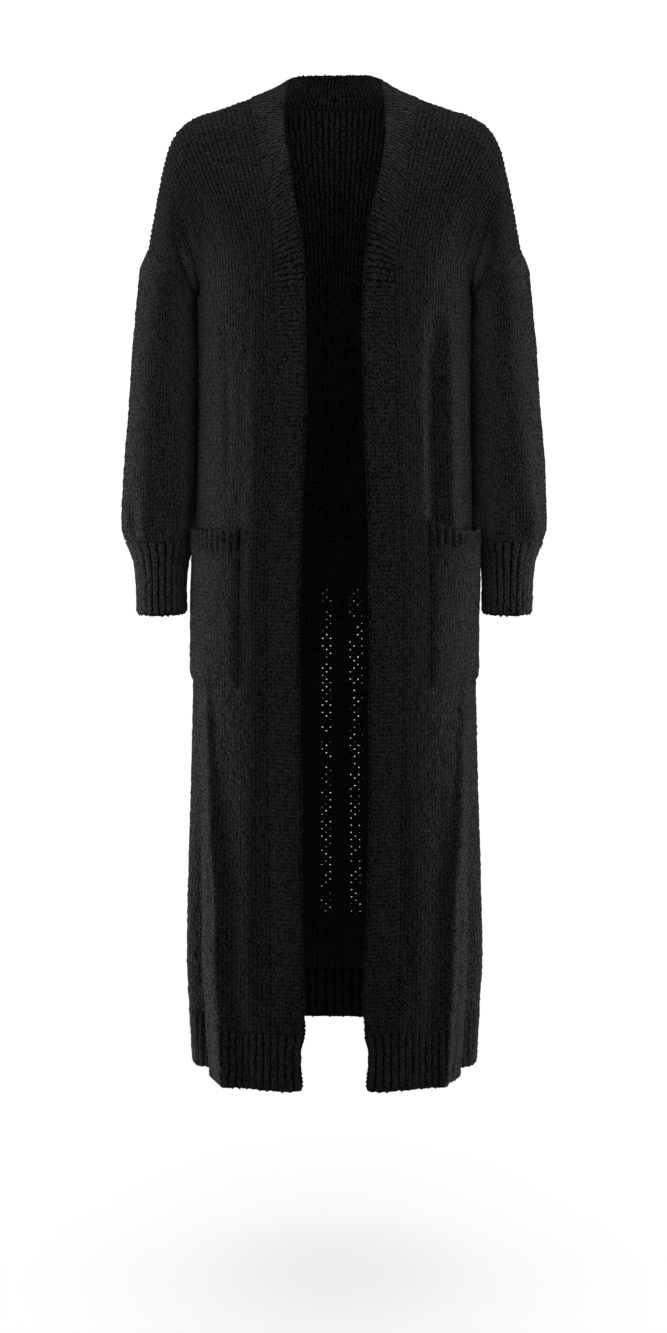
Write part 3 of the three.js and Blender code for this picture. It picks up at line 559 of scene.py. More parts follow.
def sleeve_points(side):
    """The sleeve: its first row is the armhole's edge, and a Hermite blend leads from it into the rings."""
    turns = np.linspace(0, 1, WALE_STEPS * SLEEVE_WALES + 1)
    down = 1 - np.abs(1 - 2 * turns)
    armhole = front_yoke(side, np.array([1.0]), np.sort(down[: SLEEVE_WALES + 1]))[:, 0]
    behind = back_yoke(side, np.array([1.0]), down[SLEEVE_WALES:][::-1])[:, 0][::-1]
    edge = np.vstack([armhole, behind[1:]])
    heights = np.linspace(SLEEVE["z"][0], CUFF_TOP_Z, COURSE_STEPS * SLEEVE_COURSES + 1)
    rings = sleeve_rings(side, heights, turns)
    t = np.linspace(0, 1, COURSE_STEPS * ARMHOLE_COURSES + 1)[:-1, None, None]
    straight = rings[0] - edge
    arrive = unit(rings[1] - rings[0]) * np.linalg.norm(straight, axis=1, keepdims=True)
    leave = 0.8 * straight + 0.2 * arrive
    blend = (1 + 2 * t) * (1 - t) ** 2 * edge + t * t * (3 - 2 * t) * rings[0]
    blend = blend + t * (1 - t) * ((1 - t) * leave - t * arrive)
    points = np.concatenate([blend, rings])
    reach = np.concatenate([np.full(len(t), heights[0]), heights])
    shape = sleeve_folds(side, reach, turns)
    shape[: len(t)] *= np.linspace(0, 1, len(t))[:, None] ** 2
    return points + grid_normals(points, True, side) * shape[..., None]


def cuff_points(side):
    """The cuff: the sleeve's rings, carried on with ribs."""
    heights = np.linspace(CUFF_TOP_Z, CUFF_END_Z, COURSE_STEPS * CUFF_COURSES + 1)
    return sleeve_rings(side, heights, np.linspace(0, 1, RIB_STEPS * CUFF_RIBS + 1))


def pocket_lift(share, heights):
    """How far the pocket stands off the front: it comes down to the front along its sewn edges."""
    beside = FRONT_WIDTH * np.minimum(share - share[0], share[-1] - share)
    near = np.minimum(beside, (heights - heights[-1])[:, None])
    return SEWN_LIFT + (POCKET_LIFT - SEWN_LIFT) * smoothstep(0, SEWN_SLOPE, near)


def pocket_points(side):
    """The front's own surface, moved out: the mouth sags by a half sine and stands off the front."""
    shape = POCKETS[side]
    share = np.linspace(*POCKET_SHARES, RIB_STEPS * POCKET_RIBS + 1)
    heights = np.linspace(POCKET_TOP_Z + shape.rise, POCKET_BOTTOM_Z, COURSE_STEPS * POCKET_COURSES + 1)
    points = body_rows(side, heights, band_angles(heights)[1], 90, share, bridged=True)
    middle = np.sin(np.linspace(0, np.pi, len(share)))
    gape = smoothstep(POCKET_TOP_Z - shape.reach, POCKET_TOP_Z, heights)[:, None] * middle
    sag = np.clip((heights - POCKET_RIB_Z) / (heights[0] - POCKET_RIB_Z), 0, 1)[:, None] * middle
    lift = pocket_lift(share, heights) + shape.gape * gape
    moved = points + grid_normals(points, False, -side) * lift[..., None]
    moved[..., 2] -= shape.sag * sag
    return moved


def grid_normals(points, closed, turn):
    """Unit vectors square to the grid: the cross product of its two directions, turned outwards."""
    if closed:
        ring = np.concatenate([points[:, -2:-1], points, points[:, 1:2]], axis=1)
        along = ring[:, 2:] - ring[:, :-2]
    else:
        along = np.gradient(points, axis=1)
    return unit(np.cross(along, np.gradient(points, axis=0))) * turn


class Panel:
    """A piece of cloth as a grid, with its outward directions and its height in stitches at each point."""

    def __init__(self, points, turn, wale_steps=WALE_STEPS, course_steps=COURSE_STEPS, closed=False):
        rows, columns = points.shape[:2]
        self.points = points
        self.closed = closed
        self.normals = grid_normals(points, closed, turn)
        self.own_normals = self.normals.copy()
        self.wales = np.broadcast_to(np.arange(columns) / wale_steps, (rows, columns))
        self.courses = np.broadcast_to(np.arange(rows)[:, None] / course_steps, (rows, columns))
        self.relief = np.zeros((rows, columns))
        self.free = set()
        self.kind = "back"

    def ease(self):
        """Lets the lean that each seam gives the border fade out over the next steps of the grid."""
        change = self.normals - self.own_normals
        weights = (1 - np.arange(EASE_STEPS) / EASE_STEPS)[:, None, None] ** 2
        spread = np.zeros_like(change)
        spread[:EASE_STEPS] += weights * change[0]
        spread[-EASE_STEPS:] += weights[::-1] * change[-1]
        if not self.closed:
            across = weights.swapaxes(0, 1)
            inner = np.s_[EASE_STEPS:-EASE_STEPS]
            spread[inner, :EASE_STEPS] += across * change[inner, :1]
            spread[inner, -EASE_STEPS:] += across[:, ::-1] * change[inner, -1:]
        eased = unit(self.own_normals + spread)
        for border in BORDERS.values():
            eased[border] = self.normals[border]
        self.normals = eased


def read_along(at, known, vectors):
    """Vectors read along a border at other places."""
    return np.stack([np.interp(at, known, vectors[:, k]) for k in range(3)], axis=1)


def sew(first, second):
    """Two borders that are sewn together lean halfway between them, unless the cloth folds back there."""
    first_at, second_at = (np.linspace(0, 1, len(border)) for border in (first, second))
    from_second = read_along(first_at, second_at, second)
    from_first = read_along(second_at, first_at, first)
    for border, other in ((first, from_second), (second, from_first)):
        smooth = smoothstep(-0.6, -0.2, (border * other).sum(axis=1))[:, None]
        border[:] = unit(border + (unit(border + other) - border) * smooth)


def stitch_noise(shape, size, seed):
    """Seeded unevenness of the stitches, one value for each stitch."""
    random = np.random.default_rng(seed)
    rows, columns = shape
    values = random.normal(0, size, (rows // 2 + 1, columns // 2 + 1))
    return np.repeat(np.repeat(values, 2, axis=0), 2, axis=1)[:rows, :columns]


def undulation(points, size):
    """Slow swells of the cloth: a sum of sines of the place."""
    x, y, z = (points[..., k] for k in range(3))
    swell = np.sin(z / 37 + x / 29) + np.sin(z / 23 - x / 41 + y / 31) + np.sin(x / 17 + z / 61)
    return size * swell / 3


def plain_relief(panel, knit, seed):
    """Wales: half a cosine across each, with a smaller one for each course."""
    wale = -0.5 * np.cos(2 * np.pi * panel.wales)
    course = -0.5 * np.cos(2 * np.pi * panel.courses)
    height = knit.wale_relief / MM * wale + knit.course_relief / MM * course
    return height + stitch_noise(height.shape, knit.unevenness / MM, seed)


def rib_relief(ribs, courses, knit, seed, lift=1.0):
    """Ribs: round crests with narrow troughs between them, with a small dip between courses."""
    crest = np.abs(np.sin(np.pi * ribs)) ** 0.7
    height = lift * knit.rib_relief / MM * crest - 0.5 * knit.course_relief / MM * np.cos(2 * np.pi * courses)
    return height + stitch_noise(height.shape, 0.7 * knit.unevenness / MM, seed)


@functools.lru_cache
def panels():
    """Every piece, sewn to its neighbours, with its stitches raised."""
    knit = bpy.context.scene.cardigan_knit
    back = Panel(back_points(), 1)
    hem_back = Panel(back_hem_points(), 1, RIB_STEPS)
    band = Panel(band_points(), 1, RIB_STEPS, BAND_STEPS / 8)
    made = {"back": back, "hem_back": hem_back, "front_band": band}
    neck_steps = round(WALE_STEPS * BACK_WALES * NECK_CORNER)
    band_neck = RIB_STEPS * NECK_RIBS
    yoke_end = COURSE_STEPS * YOKE_COURSES
    back_middle = back.points.shape[1] // 2
    band_middle = band.points.shape[1] // 2
    sew(back.normals[-1], hem_back.normals[0])
    sew(back.normals[0, back_middle - neck_steps: back_middle + neck_steps + 1],
        band.normals[-1, band_middle - band_neck: band_middle + band_neck + 1])
    for name, side in SIDES.items():
        front = Panel(front_points(side), -side)
        hem = Panel(front_hem_points(side), -side, RIB_STEPS)
        sleeve = Panel(sleeve_points(side), side, closed=True)
        cuff = Panel(cuff_points(side), side, RIB_STEPS, closed=True)
        pocket = Panel(pocket_points(side), -side)
        # Columns of the pieces over both sides, in the order that ends at this side
        to_back, to_band, to_hem = (piece.normals[:, ::side] for piece in (back, band, hem_back))
        half = sleeve.normals.shape[1] // 2
        sew(front.normals[0], to_back[0, back_middle + neck_steps:])
        sew(front.normals[yoke_end:, -1], to_back[yoke_end:, -1])
        sew(hem.normals[:, -1], to_hem[:, -1])
        sew(front.normals[:, 0], to_band[-1, band_middle + band_neck:])
        sew(front.normals[-1], hem.normals[0, RIB_STEPS * BAND_HEM_RIBS:])
        sew(front.normals[: yoke_end + 1, -1], sleeve.normals[0, : half + 1])
        sew(to_back[: yoke_end + 1, -1], sleeve.normals[0, half:][::-1])
        sleeve.normals[0, -1] = sleeve.normals[0, 0]
        sew(sleeve.normals[-1], cuff.normals[0])
        hem.free, cuff.free, pocket.free = {"bottom", "start"}, {"bottom"}, {"top"}
        made.update({f"front_{name}": front, f"hem_{name}": hem, f"sleeve_{name}": sleeve,
                     f"cuff_{name}": cuff, f"pocket_{name}": pocket})
    band.free, hem_back.free = {"top"}, {"bottom"}
    lifts = {**RIB_LIFTS, "band": knit.band_share}
    for number, (name, panel) in enumerate(sorted(made.items())):
        panel.kind = "band" if panel is band else name.split("_")[0]
        panel.ease()
        if panel.kind in lifts:
            panel.relief = rib_relief(panel.wales, panel.courses, knit, number, lifts[panel.kind])
        else:
            panel.relief = plain_relief(panel, knit, number)
        if panel is band:
            panel.relief += BAND_CROWN * np.sin(np.pi * panel.courses / panel.courses.max())
        if panel.kind == "pocket":
            ribs = rib_relief(panel.wales / 2, panel.courses, knit, number)
            ribbed = smoothstep(*POCKET_RIB_COURSES, panel.courses)
            panel.relief = panel.relief * (1 - ribbed) + ribs * ribbed
        panel.relief += undulation(panel.points, UNDULATION)
    return made


def edge_bumps(count):
    """A small bump for each edge stitch, two grid steps long and of seeded size."""
    sizes = np.random.default_rng(count).uniform(-0.2, 1.7, count // 2 + 1)
    return np.repeat(sizes, 2)[:count] * (0.5 + 0.5 * np.cos(np.pi * np.arange(count)))


def set_borders(panel):
    """Dips the borders: free edges are rounded off, and seams lie in a groove. Returns their bulges."""
    bulge = np.zeros(panel.relief.shape)
    for edge in ("top", "bottom") if panel.closed else BORDERS:
        free = edge in panel.free
        relief = panel.relief[BORDERS[edge]]
        rounded = FREE_BULGE + 0.5 * relief + edge_bumps(len(relief))
        bulge[BORDERS[edge]] = rounded if free else SEWN_BULGE
        dip = FREE_DIP if free else SEWN_DIP * SEAMS.get((panel.kind, edge), FAINT_SEAM)
        relief[:] = relief * (0.8 if free else 0.2) - dip
    return bulge


def seam_shade(panel):
    """Painted shade: half along the free edges, and as much as each seam shows along it, gone one grid step
    away.

    The slits between the ribs of a pocket's mouth are shaded too: a narrow peak at each trough.
    """
    shade = np.zeros(panel.relief.shape)
    rows, columns = shade.shape
    down, across = np.arange(rows)[:, None], np.arange(columns)[None]
    steps = {"top": down, "bottom": rows - 1 - down, "start": across, "end": columns - 1 - across}
    for edge in ("top", "bottom") if panel.closed else steps:
        full = 0.5 if edge in panel.free else SEAMS.get((panel.kind, edge), FAINT_SEAM)
        shade = np.maximum(shade, full * (steps[edge] == 0))
    if panel.kind == "pocket":
        slit = (1 - np.abs(np.sin(np.pi * panel.wales / 2))) ** 2
        open_here = smoothstep(*SLIT_TOP, panel.courses) * smoothstep(*SLIT_END, panel.courses)
        shade += SLIT_SHADE * slit * open_here
    return shade


def border_path(rows, columns, closed):
    """Rows and columns of the grid's borders, in the order in which its faces run along them."""
    top = (np.zeros(columns - 1, int), np.arange(columns - 1))
    bottom = (np.full(columns - 1, rows - 1), np.arange(columns - 1, 0, -1))
    if closed:
        return [top, bottom]
    right = (np.arange(rows - 1), np.full(rows - 1, columns - 1))
    left = (np.arange(rows - 1, 0, -1), np.zeros(rows - 1, int))
    return [tuple(np.concatenate(part) for part in zip(top, right, bottom, left))]


def outward_at(panel):
    """At each border point, the direction in the cloth that leads away from the piece."""
    out = np.zeros_like(panel.points)
    p = panel.points
    for edge, step in (("start", p[:, 0] - p[:, 1]), ("end", p[:, -1] - p[:, -2]),
                       ("top", p[0] - p[1]), ("bottom", p[-1] - p[-2])):
        if panel.closed and edge in ("start", "end"):
            continue
        out[BORDERS[edge]] += unit(step)
    out -= panel.normals * (out * panel.normals).sum(axis=-1, keepdims=True)
    return unit(out)


def new_mesh(name, points, corners, totals, smooth=False):
    """A mesh from its points in mm, the corners of all its faces in a row, and how many each face has."""
    mesh = bpy.data.meshes.new(name)
    mesh.vertices.add(len(points))
    mesh.vertices.foreach_set("co", (points * MM).ravel())
    mesh.loops.add(len(corners))
    mesh.loops.foreach_set("vertex_index", np.ascontiguousarray(corners, dtype=np.int32))
    mesh.polygons.add(len(totals))
    mesh.polygons.foreach_set("loop_start", np.r_[0, totals.cumsum()[:-1]].astype(np.int32))
    if smooth:
        mesh.polygons.foreach_set("use_smooth", np.ones(len(totals), bool))
    mesh.update(calc_edges=True)
    return mesh


def cloth_mesh(name, panel, thickness, skip_rows=4, skip_columns=2):
    """A closed wall: the raised outer skin, a rounded rim, and a plain inner skin with fewer faces.

    An inner face covers skip_rows by skip_columns steps. Where it meets the rim it has the rim's corners too.
    """
    rows, columns = panel.relief.shape
    round_it = columns - 1 if panel.closed else columns
    bulge = set_borders(panel)
    outer = panel.points + panel.normals * panel.relief[..., None]
    inner = panel.points - panel.normals * thickness
    rim = (outer + inner) / 2 + outward_at(panel) * bulge[..., None]
    row_at, column_at = np.mgrid[:rows, :columns]
    ids = row_at * round_it + column_at % round_it
    vertices = [outer[:, :round_it].reshape(-1, 3)]
    count = rows * round_it
    corner = np.stack([ids, row_at * columns + column_at], axis=-1)
    quads = np.stack([corner[:-1, :-1], corner[:-1, 1:], corner[1:, 1:], corner[1:, :-1]], axis=2)
    faces = [quads.reshape(-1, 4, 2)]
    inside = np.full((rows, columns), -1)
    for r, c in border_path(rows, columns, panel.closed):
        size = len(r)
        vertices += [rim[r, c], inner[r, c]]
        middle = count + np.arange(size)
        deep = middle + size
        count += 2 * size
        inside[r, c] = deep
        places = r * columns + c
        here, there = np.arange(size), np.roll(np.arange(size), -1)
        far = places[there].copy()
        if panel.closed:
            far[-1] = places[-1] + (1 if r[0] == 0 else -1)
        for upper, lower in ((ids[r, c], middle), (middle, deep)):
            quads = ((upper[there], far), (upper[here], places), (lower[here], places), (lower[there], far))
            faces.append(np.stack([np.stack(quad, axis=1) for quad in quads], axis=1))
    coarse_rows = np.arange(skip_rows, rows - 1, skip_rows)
    first, last = (0, round_it) if panel.closed else (skip_columns, round_it - 1)
    coarse = np.ix_(coarse_rows, np.arange(first, last, skip_columns))
    inside[coarse] = count + np.arange(inside[coarse].size).reshape(inside[coarse].shape)
    vertices.append(inner[coarse].reshape(-1, 3))
    if panel.closed:
        inside[:, -1] = inside[:, 0]
    down, right = np.arange(skip_rows), np.arange(skip_columns)
    steps_down = np.r_[down, np.full(skip_columns, skip_rows), skip_rows - down, 0 * right]
    steps_right = np.r_[0 * down, right, np.full(skip_rows, skip_columns), skip_columns - right]
    cell_row, cell_column = np.mgrid[0: rows - 1: skip_rows, 0: columns - 1: skip_columns]
    at_row = cell_row.reshape(-1, 1) + steps_down
    at_column = cell_column.reshape(-1, 1) + steps_right
    found = inside[at_row, at_column]
    kept = found >= 0
    loops = np.concatenate([quads.reshape(-1, 2) for quads in faces]
                           + [np.stack([found[kept], (at_row * columns + at_column)[kept]], axis=1)])
    totals = np.concatenate([np.full(sum(len(quads) for quads in faces), 4), kept.sum(axis=1)])
    # Painted shade along the seams, the free edges, the rim between the skins and the pockets' slits, kept as
    # the seam attribute
    shade = seam_shade(panel).ravel()[loops[:, 1]]
    shade[len(faces[0]) * 4: sum(len(quads) for quads in faces) * 4] = RIM_SHADE
    facing = np.cross(panel.points[1, 2] - panel.points[1, 1], panel.points[2, 1] - panel.points[1, 1])
    if facing @ panel.normals[1, 1] > 0:
        loops, totals, shade = loops[::-1], totals[::-1], shade[::-1]
    mesh = new_mesh(name, np.concatenate(vertices), loops[:, 0], totals, True)
    uv = np.stack([panel.wales.ravel()[loops[:, 1]], panel.courses.ravel()[loops[:, 1]]], axis=1)
    mesh.uv_layers.new(name="knit").data.foreach_set("uv", uv.ravel())
    seam = mesh.attributes.new("seam", "FLOAT", "CORNER")
    seam.data.foreach_set("value", np.ascontiguousarray(shade, np.float32))
    return mesh


def cloth_area(panel):
    """Area of the cloth before its stitches are raised, in square metres."""
    p = panel.points
    cross = np.cross(p[1:, 1:] - p[:-1, :-1], p[1:, :-1] - p[:-1, 1:])
    return float(np.linalg.norm(cross, axis=-1).sum() / 2 * MM * MM)


def linear(colour):
    """An sRGB hex colour as the linear values that shaders take."""
    parts = [int(colour.lstrip("#")[k: k + 2], 16) / 255 for k in (0, 2, 4)]
    return tuple(p / 12.92 if p <= 0.04045 else ((p + 0.055) / 1.055) ** 2.4 for p in parts)


def add_node(tree, kind, inputs=(), out=0, **settings):
    """Adds a node with its settings, sets or links its inputs by number or name, and returns one output."""
    node = tree.nodes.new(f"ShaderNode{kind}")
    for key, value in settings.items():
        setattr(node, key, value)
    for key, value in inputs.items() if isinstance(inputs, dict) else enumerate(inputs):
        if isinstance(value, bpy.types.NodeSocket):
            tree.links.new(value, node.inputs[key])
        else:
            node.inputs[key].default_value = value
    return node.outputs[out] if node.outputs else node


def empty_material(name):
    """A new material and its empty tree of nodes."""
    material = bpy.data.materials.new(name)
    material.use_nodes = True
    material.node_tree.nodes.clear()
    return material, material.node_tree


def yarn_surface(tree, tone, colour, inputs=()):
    """Matt yarn, from the colour of its hollows to this colour by its tone."""
    hollow = (*bpy.context.scene.cardigan_yarn.hollow_colour, 1)
    ends = {"A": hollow, "B": (*colour, 1)}
    mixed = add_node(tree, "Mix", {"Factor": tone, **ends}, "Result", data_type="RGBA")
    shader = add_node(tree, "BsdfPrincipled", {
        "Base Color": mixed, "Roughness": 1.0, "Specular IOR Level": 0.0, **dict(inputs)})
    add_node(tree, "OutputMaterial", {"Surface": shader})


def wandering(tree, place, knit, amount):
    """Stitch coordinates that drift by this share of a stitch, and by 1.4 times as much along the wales."""
    for scale in DRIFT_SCALES:
        drift = add_node(tree, "TexNoise", {"Vector": place, "Scale": scale, "Detail": 1}, "Color")
        centred = add_node(tree, "VectorMath", (drift, (0.5, 0.5, 0.5)), operation="SUBTRACT")
        shift = (amount, 1.4 * amount, 0)
        knit = add_node(tree, "VectorMath", (centred, shift, knit), operation="MULTIPLY_ADD")
    return knit


def knit_material(name, pattern, drift=0.45, regular=2.5, pale=1.0, clumping=6.0, pinholes=False):
    """Brushed black wool and acrylic yarn: matt, with painted shade in the gaps between loops and a faint
    pale nap.

    drift is how far loops wander, regular how plainly their rows show, pale how much lighter the loops are
    painted, and clumping how much the clumps of fibres differ. On the sleeves and cuffs the paler loops are
    painted light, standing in for the brighter light that falls on them.
    """
    yarn = bpy.context.scene.cardigan_yarn
    material, tree = empty_material(name)
    place = add_node(tree, "TexCoord", out="Object")
    knit = add_node(tree, "UVMap", out="UV", uv_map="knit")
    moved = wandering(tree, place, knit, drift)
    stitch = pattern(tree, *(add_node(tree, "SeparateXYZ", (moved,), axis) for axis in "XY"))
    clumps, fibre = (
        add_node(tree, "TexNoise", {"Vector": place, "Scale": scale, "Detail": 2, "Roughness": rough}, "Fac")
        for scale, rough in ((CLUMP_SCALE, 0.6), (FIBRE_SCALE, 0.7)))
    mixed = add_node(tree, "Math", (stitch, regular, fibre), operation="MULTIPLY_ADD")
    height = add_node(tree, "Math", (clumps, clumping, mixed), operation="MULTIPLY_ADD")
    # Tone: the gaps between loops and the seams are in shade
    seam = add_node(tree, "Attribute", out="Fac", attribute_name="seam")
    shaded = add_node(tree, "Math", (seam, SEAM_TONE, height), operation="MULTIPLY_ADD")
    low = 0.5 * clumping + 0.74 * regular - 0.07
    tone = add_node(tree, "MapRange", (shaded, low, low + TONE_RANGE))
    inputs = {
        "Sheen Weight": yarn.nap, "Sheen Roughness": 0.4,
        "Normal": add_node(tree, "Bump", {"Height": height, "Strength": 0.8, "Distance": BUMP_HEIGHT}),
    }
    if pinholes:
        inputs["Alpha"] = open_stitches(tree, place, knit)
    yarn_surface(tree, tone, [pale * part for part in yarn.loop_colour], inputs)
    return material


def open_stitches(tree, place, knit):
    """1 where there is yarn and 0 in the pinholes: round spots at the corners of loose stitches.

    The stitches are loose in two columns down the lower half of the back, and only some of them.
    """
    # Distance from the nearest corner, in stitches
    squares = []
    for axis in "XY":
        along = add_node(tree, "SeparateXYZ", (knit,), axis)
        near = add_node(tree, "Math", (along, 0.5), operation="PINGPONG")
        squares.append(add_node(tree, "Math", (near, near), operation="MULTIPLY"))
    off = add_node(tree, "Math", squares, operation="ADD")
    off = add_node(tree, "Math", (off,), operation="SQRT")
    # Every other stitch may have a gap, of a random size
    corner = add_node(tree, "VectorMath", (knit, (0.5, 0.5, 0)), operation="ADD")
    corner = add_node(tree, "VectorMath", (corner,), operation="FLOOR")
    chance = add_node(tree, "TexWhiteNoise", {"Vector": corner}, "Value", noise_dimensions="2D")
    size = add_node(tree, "Math", (chance, 0.3), operation="MULTIPLY")
    size = add_node(tree, "Math", (size, PINHOLE_SIZE), operation="MINIMUM")
    numbers = [add_node(tree, "SeparateXYZ", (corner,), axis) for axis in "XY"]
    odd = add_node(tree, "Math", numbers, operation="ADD")
    odd = add_node(tree, "Math", (odd, 1), operation="PINGPONG")
    size = add_node(tree, "Math", (size, odd), operation="SUBTRACT")
    # The gaps close up beside the two columns, and above and below them
    aside, high = (add_node(tree, "SeparateXYZ", (place,), axis) for axis in "XZ")
    for shift in (PINHOLE_MIDDLE, PINHOLE_ASIDE):
        aside = add_node(tree, "Math", (aside, shift), operation="SUBTRACT")
        aside = add_node(tree, "Math", (aside,), operation="ABSOLUTE")
    for value, span in ((aside, PINHOLE_COLUMN), (high, PINHOLE_TOP), (high, PINHOLE_BOTTOM)):
        closed = add_node(tree, "MapRange", (value, *span, 0.0, 0.25))
        size = add_node(tree, "Math", (size, closed), operation="SUBTRACT")
    return add_node(tree, "Math", (off, size), operation="GREATER_THAN")


def stocking_loops(tree, wale, course):
    """Two slanted legs to a stitch, with painted shade beside each wale, most between courses, and at the
    legs' foot.
    """
    middle = add_node(tree, "Math", (wale, 0.5), operation="PINGPONG")
    beside = add_node(tree, "MapRange", (middle, 0.0, 0.34, 1.0, 0.0), interpolation_type="SMOOTHSTEP")
    foot = add_node(tree, "MapRange", (middle, 0.3, 0.5), interpolation_type="SMOOTHSTEP")
    turn = add_node(tree, "Math", (course, 2 * math.pi), operation="MULTIPLY")
    turn = add_node(tree, "Math", (turn,), operation="COSINE")
    # Over the shoulders the cloth is pulled down, which leaves plain grooves between the wales
    high = add_node(tree, "SeparateXYZ", (add_node(tree, "TexCoord", out="Object"),), "Z")
    dots = add_node(tree, "MapRange", (high, -0.3, -0.12, 0.45, 0.08))
    groove = add_node(tree, "Math", (1, dots), operation="SUBTRACT")
    depth = add_node(tree, "Math", (turn, dots, groove), operation="MULTIPLY_ADD")
    gap = add_node(tree, "Math", (beside, depth), operation="MULTIPLY")
    foot_depth = add_node(tree, "Math", (turn, -0.28, 0.28), operation="MULTIPLY_ADD")
    gap = add_node(tree, "Math", (foot, foot_depth, gap), operation="MULTIPLY_ADD")
    return add_node(tree, "Math", (1, gap), operation="SUBTRACT")


def rib_loops(tree, rib, course):
    """One column of slanted loops on each rib, with painted shade in the trough beside it."""
    middle = add_node(tree, "Math", (rib, 0.5), operation="PINGPONG")
    beside = add_node(tree, "MapRange", (middle, 0.0, 0.2), interpolation_type="SMOOTHSTEP")
    turn = add_node(tree, "Math", (middle, -2.0, course), operation="MULTIPLY_ADD")
    turn = add_node(tree, "Math", (turn, 2 * math.pi), operation="MULTIPLY")
    turn = add_node(tree, "Math", (turn,), operation="COSINE")
    turn = add_node(tree, "Math", (turn, 0.16, 0.84), operation="MULTIPLY_ADD")
    return add_node(tree, "Math", (beside, turn), operation="MULTIPLY")


def band_loops(tree, rib, course):
    """The band's knit is turned a quarter: its wales run across it, two to a rib."""
    return stocking_loops(tree, add_node(tree, "Math", (rib, 2.0), operation="MULTIPLY"), course)


@functools.lru_cache
def materials():
    """The knit of each kind of piece, and the fibres'."""
    return {
        "front": knit_material("brushed_black_plain_knit", stocking_loops),
        "back": knit_material("loose_black_plain_knit", stocking_loops, pinholes=True),
        # The sleeves and cuffs have paler loops: painted light, for the brighter light on them
        "sleeve": knit_material("brushed_black_plain_knit_painted_lighter", stocking_loops, pale=1.5),
        "hem": knit_material("brushed_black_rib_knit", rib_loops, 0.3, 1.4, 1.1, 3.2),
        "cuff": knit_material("brushed_black_rib_knit_painted_lighter", rib_loops, 0.3, 1.6, 1.8, 3.2),
        "band": knit_material("brushed_black_flat_rib_knit", band_loops, 0.35, 1.7, 1.0, 4.5),
        "nap": fibre_material(),
    }


def nap_mesh(name, panel, nap, seed):
    """Loose fibres: thin spikes of four faces, seeded over the outer skin, each leaning its own way."""
    random = np.random.default_rng(seed)
    outer = panel.points + panel.normals * panel.relief[..., None]
    count = int(cloth_area(panel) * nap.density)
    row = random.integers(0, outer.shape[0] - 1, count)
    column = random.integers(0, outer.shape[1] - 1, count)
    down, across = random.random((2, count, 1))
    start = outer[row, column]
    start = start + down * (outer[row + 1, column] - start) + across * (outer[row, column + 1] - start)
    normal = panel.normals[row, column]
    lean = random.normal(0, 1, (count, 3))
    lean -= normal * (lean * normal).sum(axis=1, keepdims=True)
    direction = unit(normal * random.uniform(0.25, 1, (count, 1)) + lean * 0.8)
    length = nap.length / MM * random.uniform(0.35, 1, (count, 1)) ** 1.5
    side = unit(np.cross(direction, random.normal(0, 1, (count, 3))))
    other = np.cross(direction, side)
    half = nap.width / MM / 2
    base = start - direction * 0.6
    corners = (base + side * half, base + (other * 0.87 - side * 0.5) * half,
               base - (other * 0.87 + side * 0.5) * half, base + direction * length)
    faces = np.array([(0, 1, 3), (1, 2, 3), (2, 0, 3), (2, 1, 0)])
    loops = (np.arange(count)[:, None, None] * 4 + faces).ravel()
    return new_mesh(name, np.stack(corners, axis=1).reshape(-1, 3), loops, np.full(4 * count, 3))


def fibre_material():
    """Loose yarn fibres: matt black hairs, a touch paler than the cloth because light comes through them."""
    material, tree = empty_material("loose_black_yarn_fibres")
    place = add_node(tree, "TexCoord", out="Object")
    tufts = add_node(tree, "TexNoise", {"Vector": place, "Scale": TUFT_SCALE, "Detail": 1}, "Fac")
    yarn_surface(tree, tufts, bpy.context.scene.cardigan_yarn.fibre_colour)
    return material


def add_piece(name, mesh, material):
    """Puts a mesh in the scene with its material, on the cardigan's one body."""
    piece = bpy.data.objects.new(name, mesh)
    bpy.context.scene.collection.objects.link(piece)
    mesh.materials.append(material)
    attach(piece, "root")
    return piece


def make_piece(name, skip_columns=2):
    """Builds a piece's cloth and loose fibres in place of its solid."""
    scene = bpy.context.scene
    panel = panels()[name]
    mesh = cloth_mesh(f"{name}_cloth", panel, scene.cardigan_knit.cloth / MM, 4, skip_columns)
    piece = add_piece(mesh.name, mesh, materials()["front" if panel.kind == "pocket" else panel.kind])
    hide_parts(name)
    mesh = nap_mesh(f"{name}_nap", panel, scene.cardigan_nap, len(name) + sum(map(ord, name)))
    nap = add_piece(mesh.name, mesh, materials()["nap"])
    return piece


def millimetres(name, description, size):
    """A length in mm, as a value in the panel."""
    return FloatProperty(name=name, description=description, default=size * MM, unit="LENGTH")


def watts(name, description, power):
    """A lamp's power, as a value in the panel."""
    return FloatProperty(name=name, description=description, default=power, unit="POWER")


def tint(name, description, colour):
    """A colour, as a value in the panel."""
    return FloatVectorProperty(name=name, description=description, default=linear(colour), subtype="COLOR",
                               min=0, max=1)


class CardiganKnit(bpy.types.PropertyGroup):
    cloth: millimetres("Cloth", "Thickness of the plain knit", 3)
    wale_relief: millimetres("Wale Relief", "Height of a wale over the gap beside it", 1.25)
    course_relief: millimetres("Course Relief", "Height of a loop over the gap below it", 0.2)
    rib_relief: millimetres("Rib Relief", "Height of a rib over the trough beside it", 2.2)
    band_share: FloatProperty(name="Band Ribs", description="Height of its ribs, as a share of others'",
                              default=0.1, subtype="FACTOR", min=0, max=1)
    unevenness: millimetres("Unevenness", "How much loops differ in height", 0.34)


class CardiganYarn(bpy.types.PropertyGroup):
    loop_colour: tint("Loops", "Colour of the loops that face the light", "#101011")
    # The hollows' colour is the painted shade between the loops
    hollow_colour: tint("Hollows", "Colour between the loops", "#010101")
    fibre_colour: tint("Fibres", "Colour of the loose fibres", "#1a191b")
    nap: FloatProperty(name="Nap", description="How pale the brushed nap looks along the edges",
                       default=0.02, subtype="FACTOR", min=0, max=1)


class CardiganNap(bpy.types.PropertyGroup):
    density: FloatProperty(name="Density", description="Loose fibres on each square metre", default=52000)
    length: millimetres("Length", "Length of the longest loose fibres", 5.5)
    width: millimetres("Width", "Width of a fibre, drawn thicker than a real one so that it shows", 0.26)


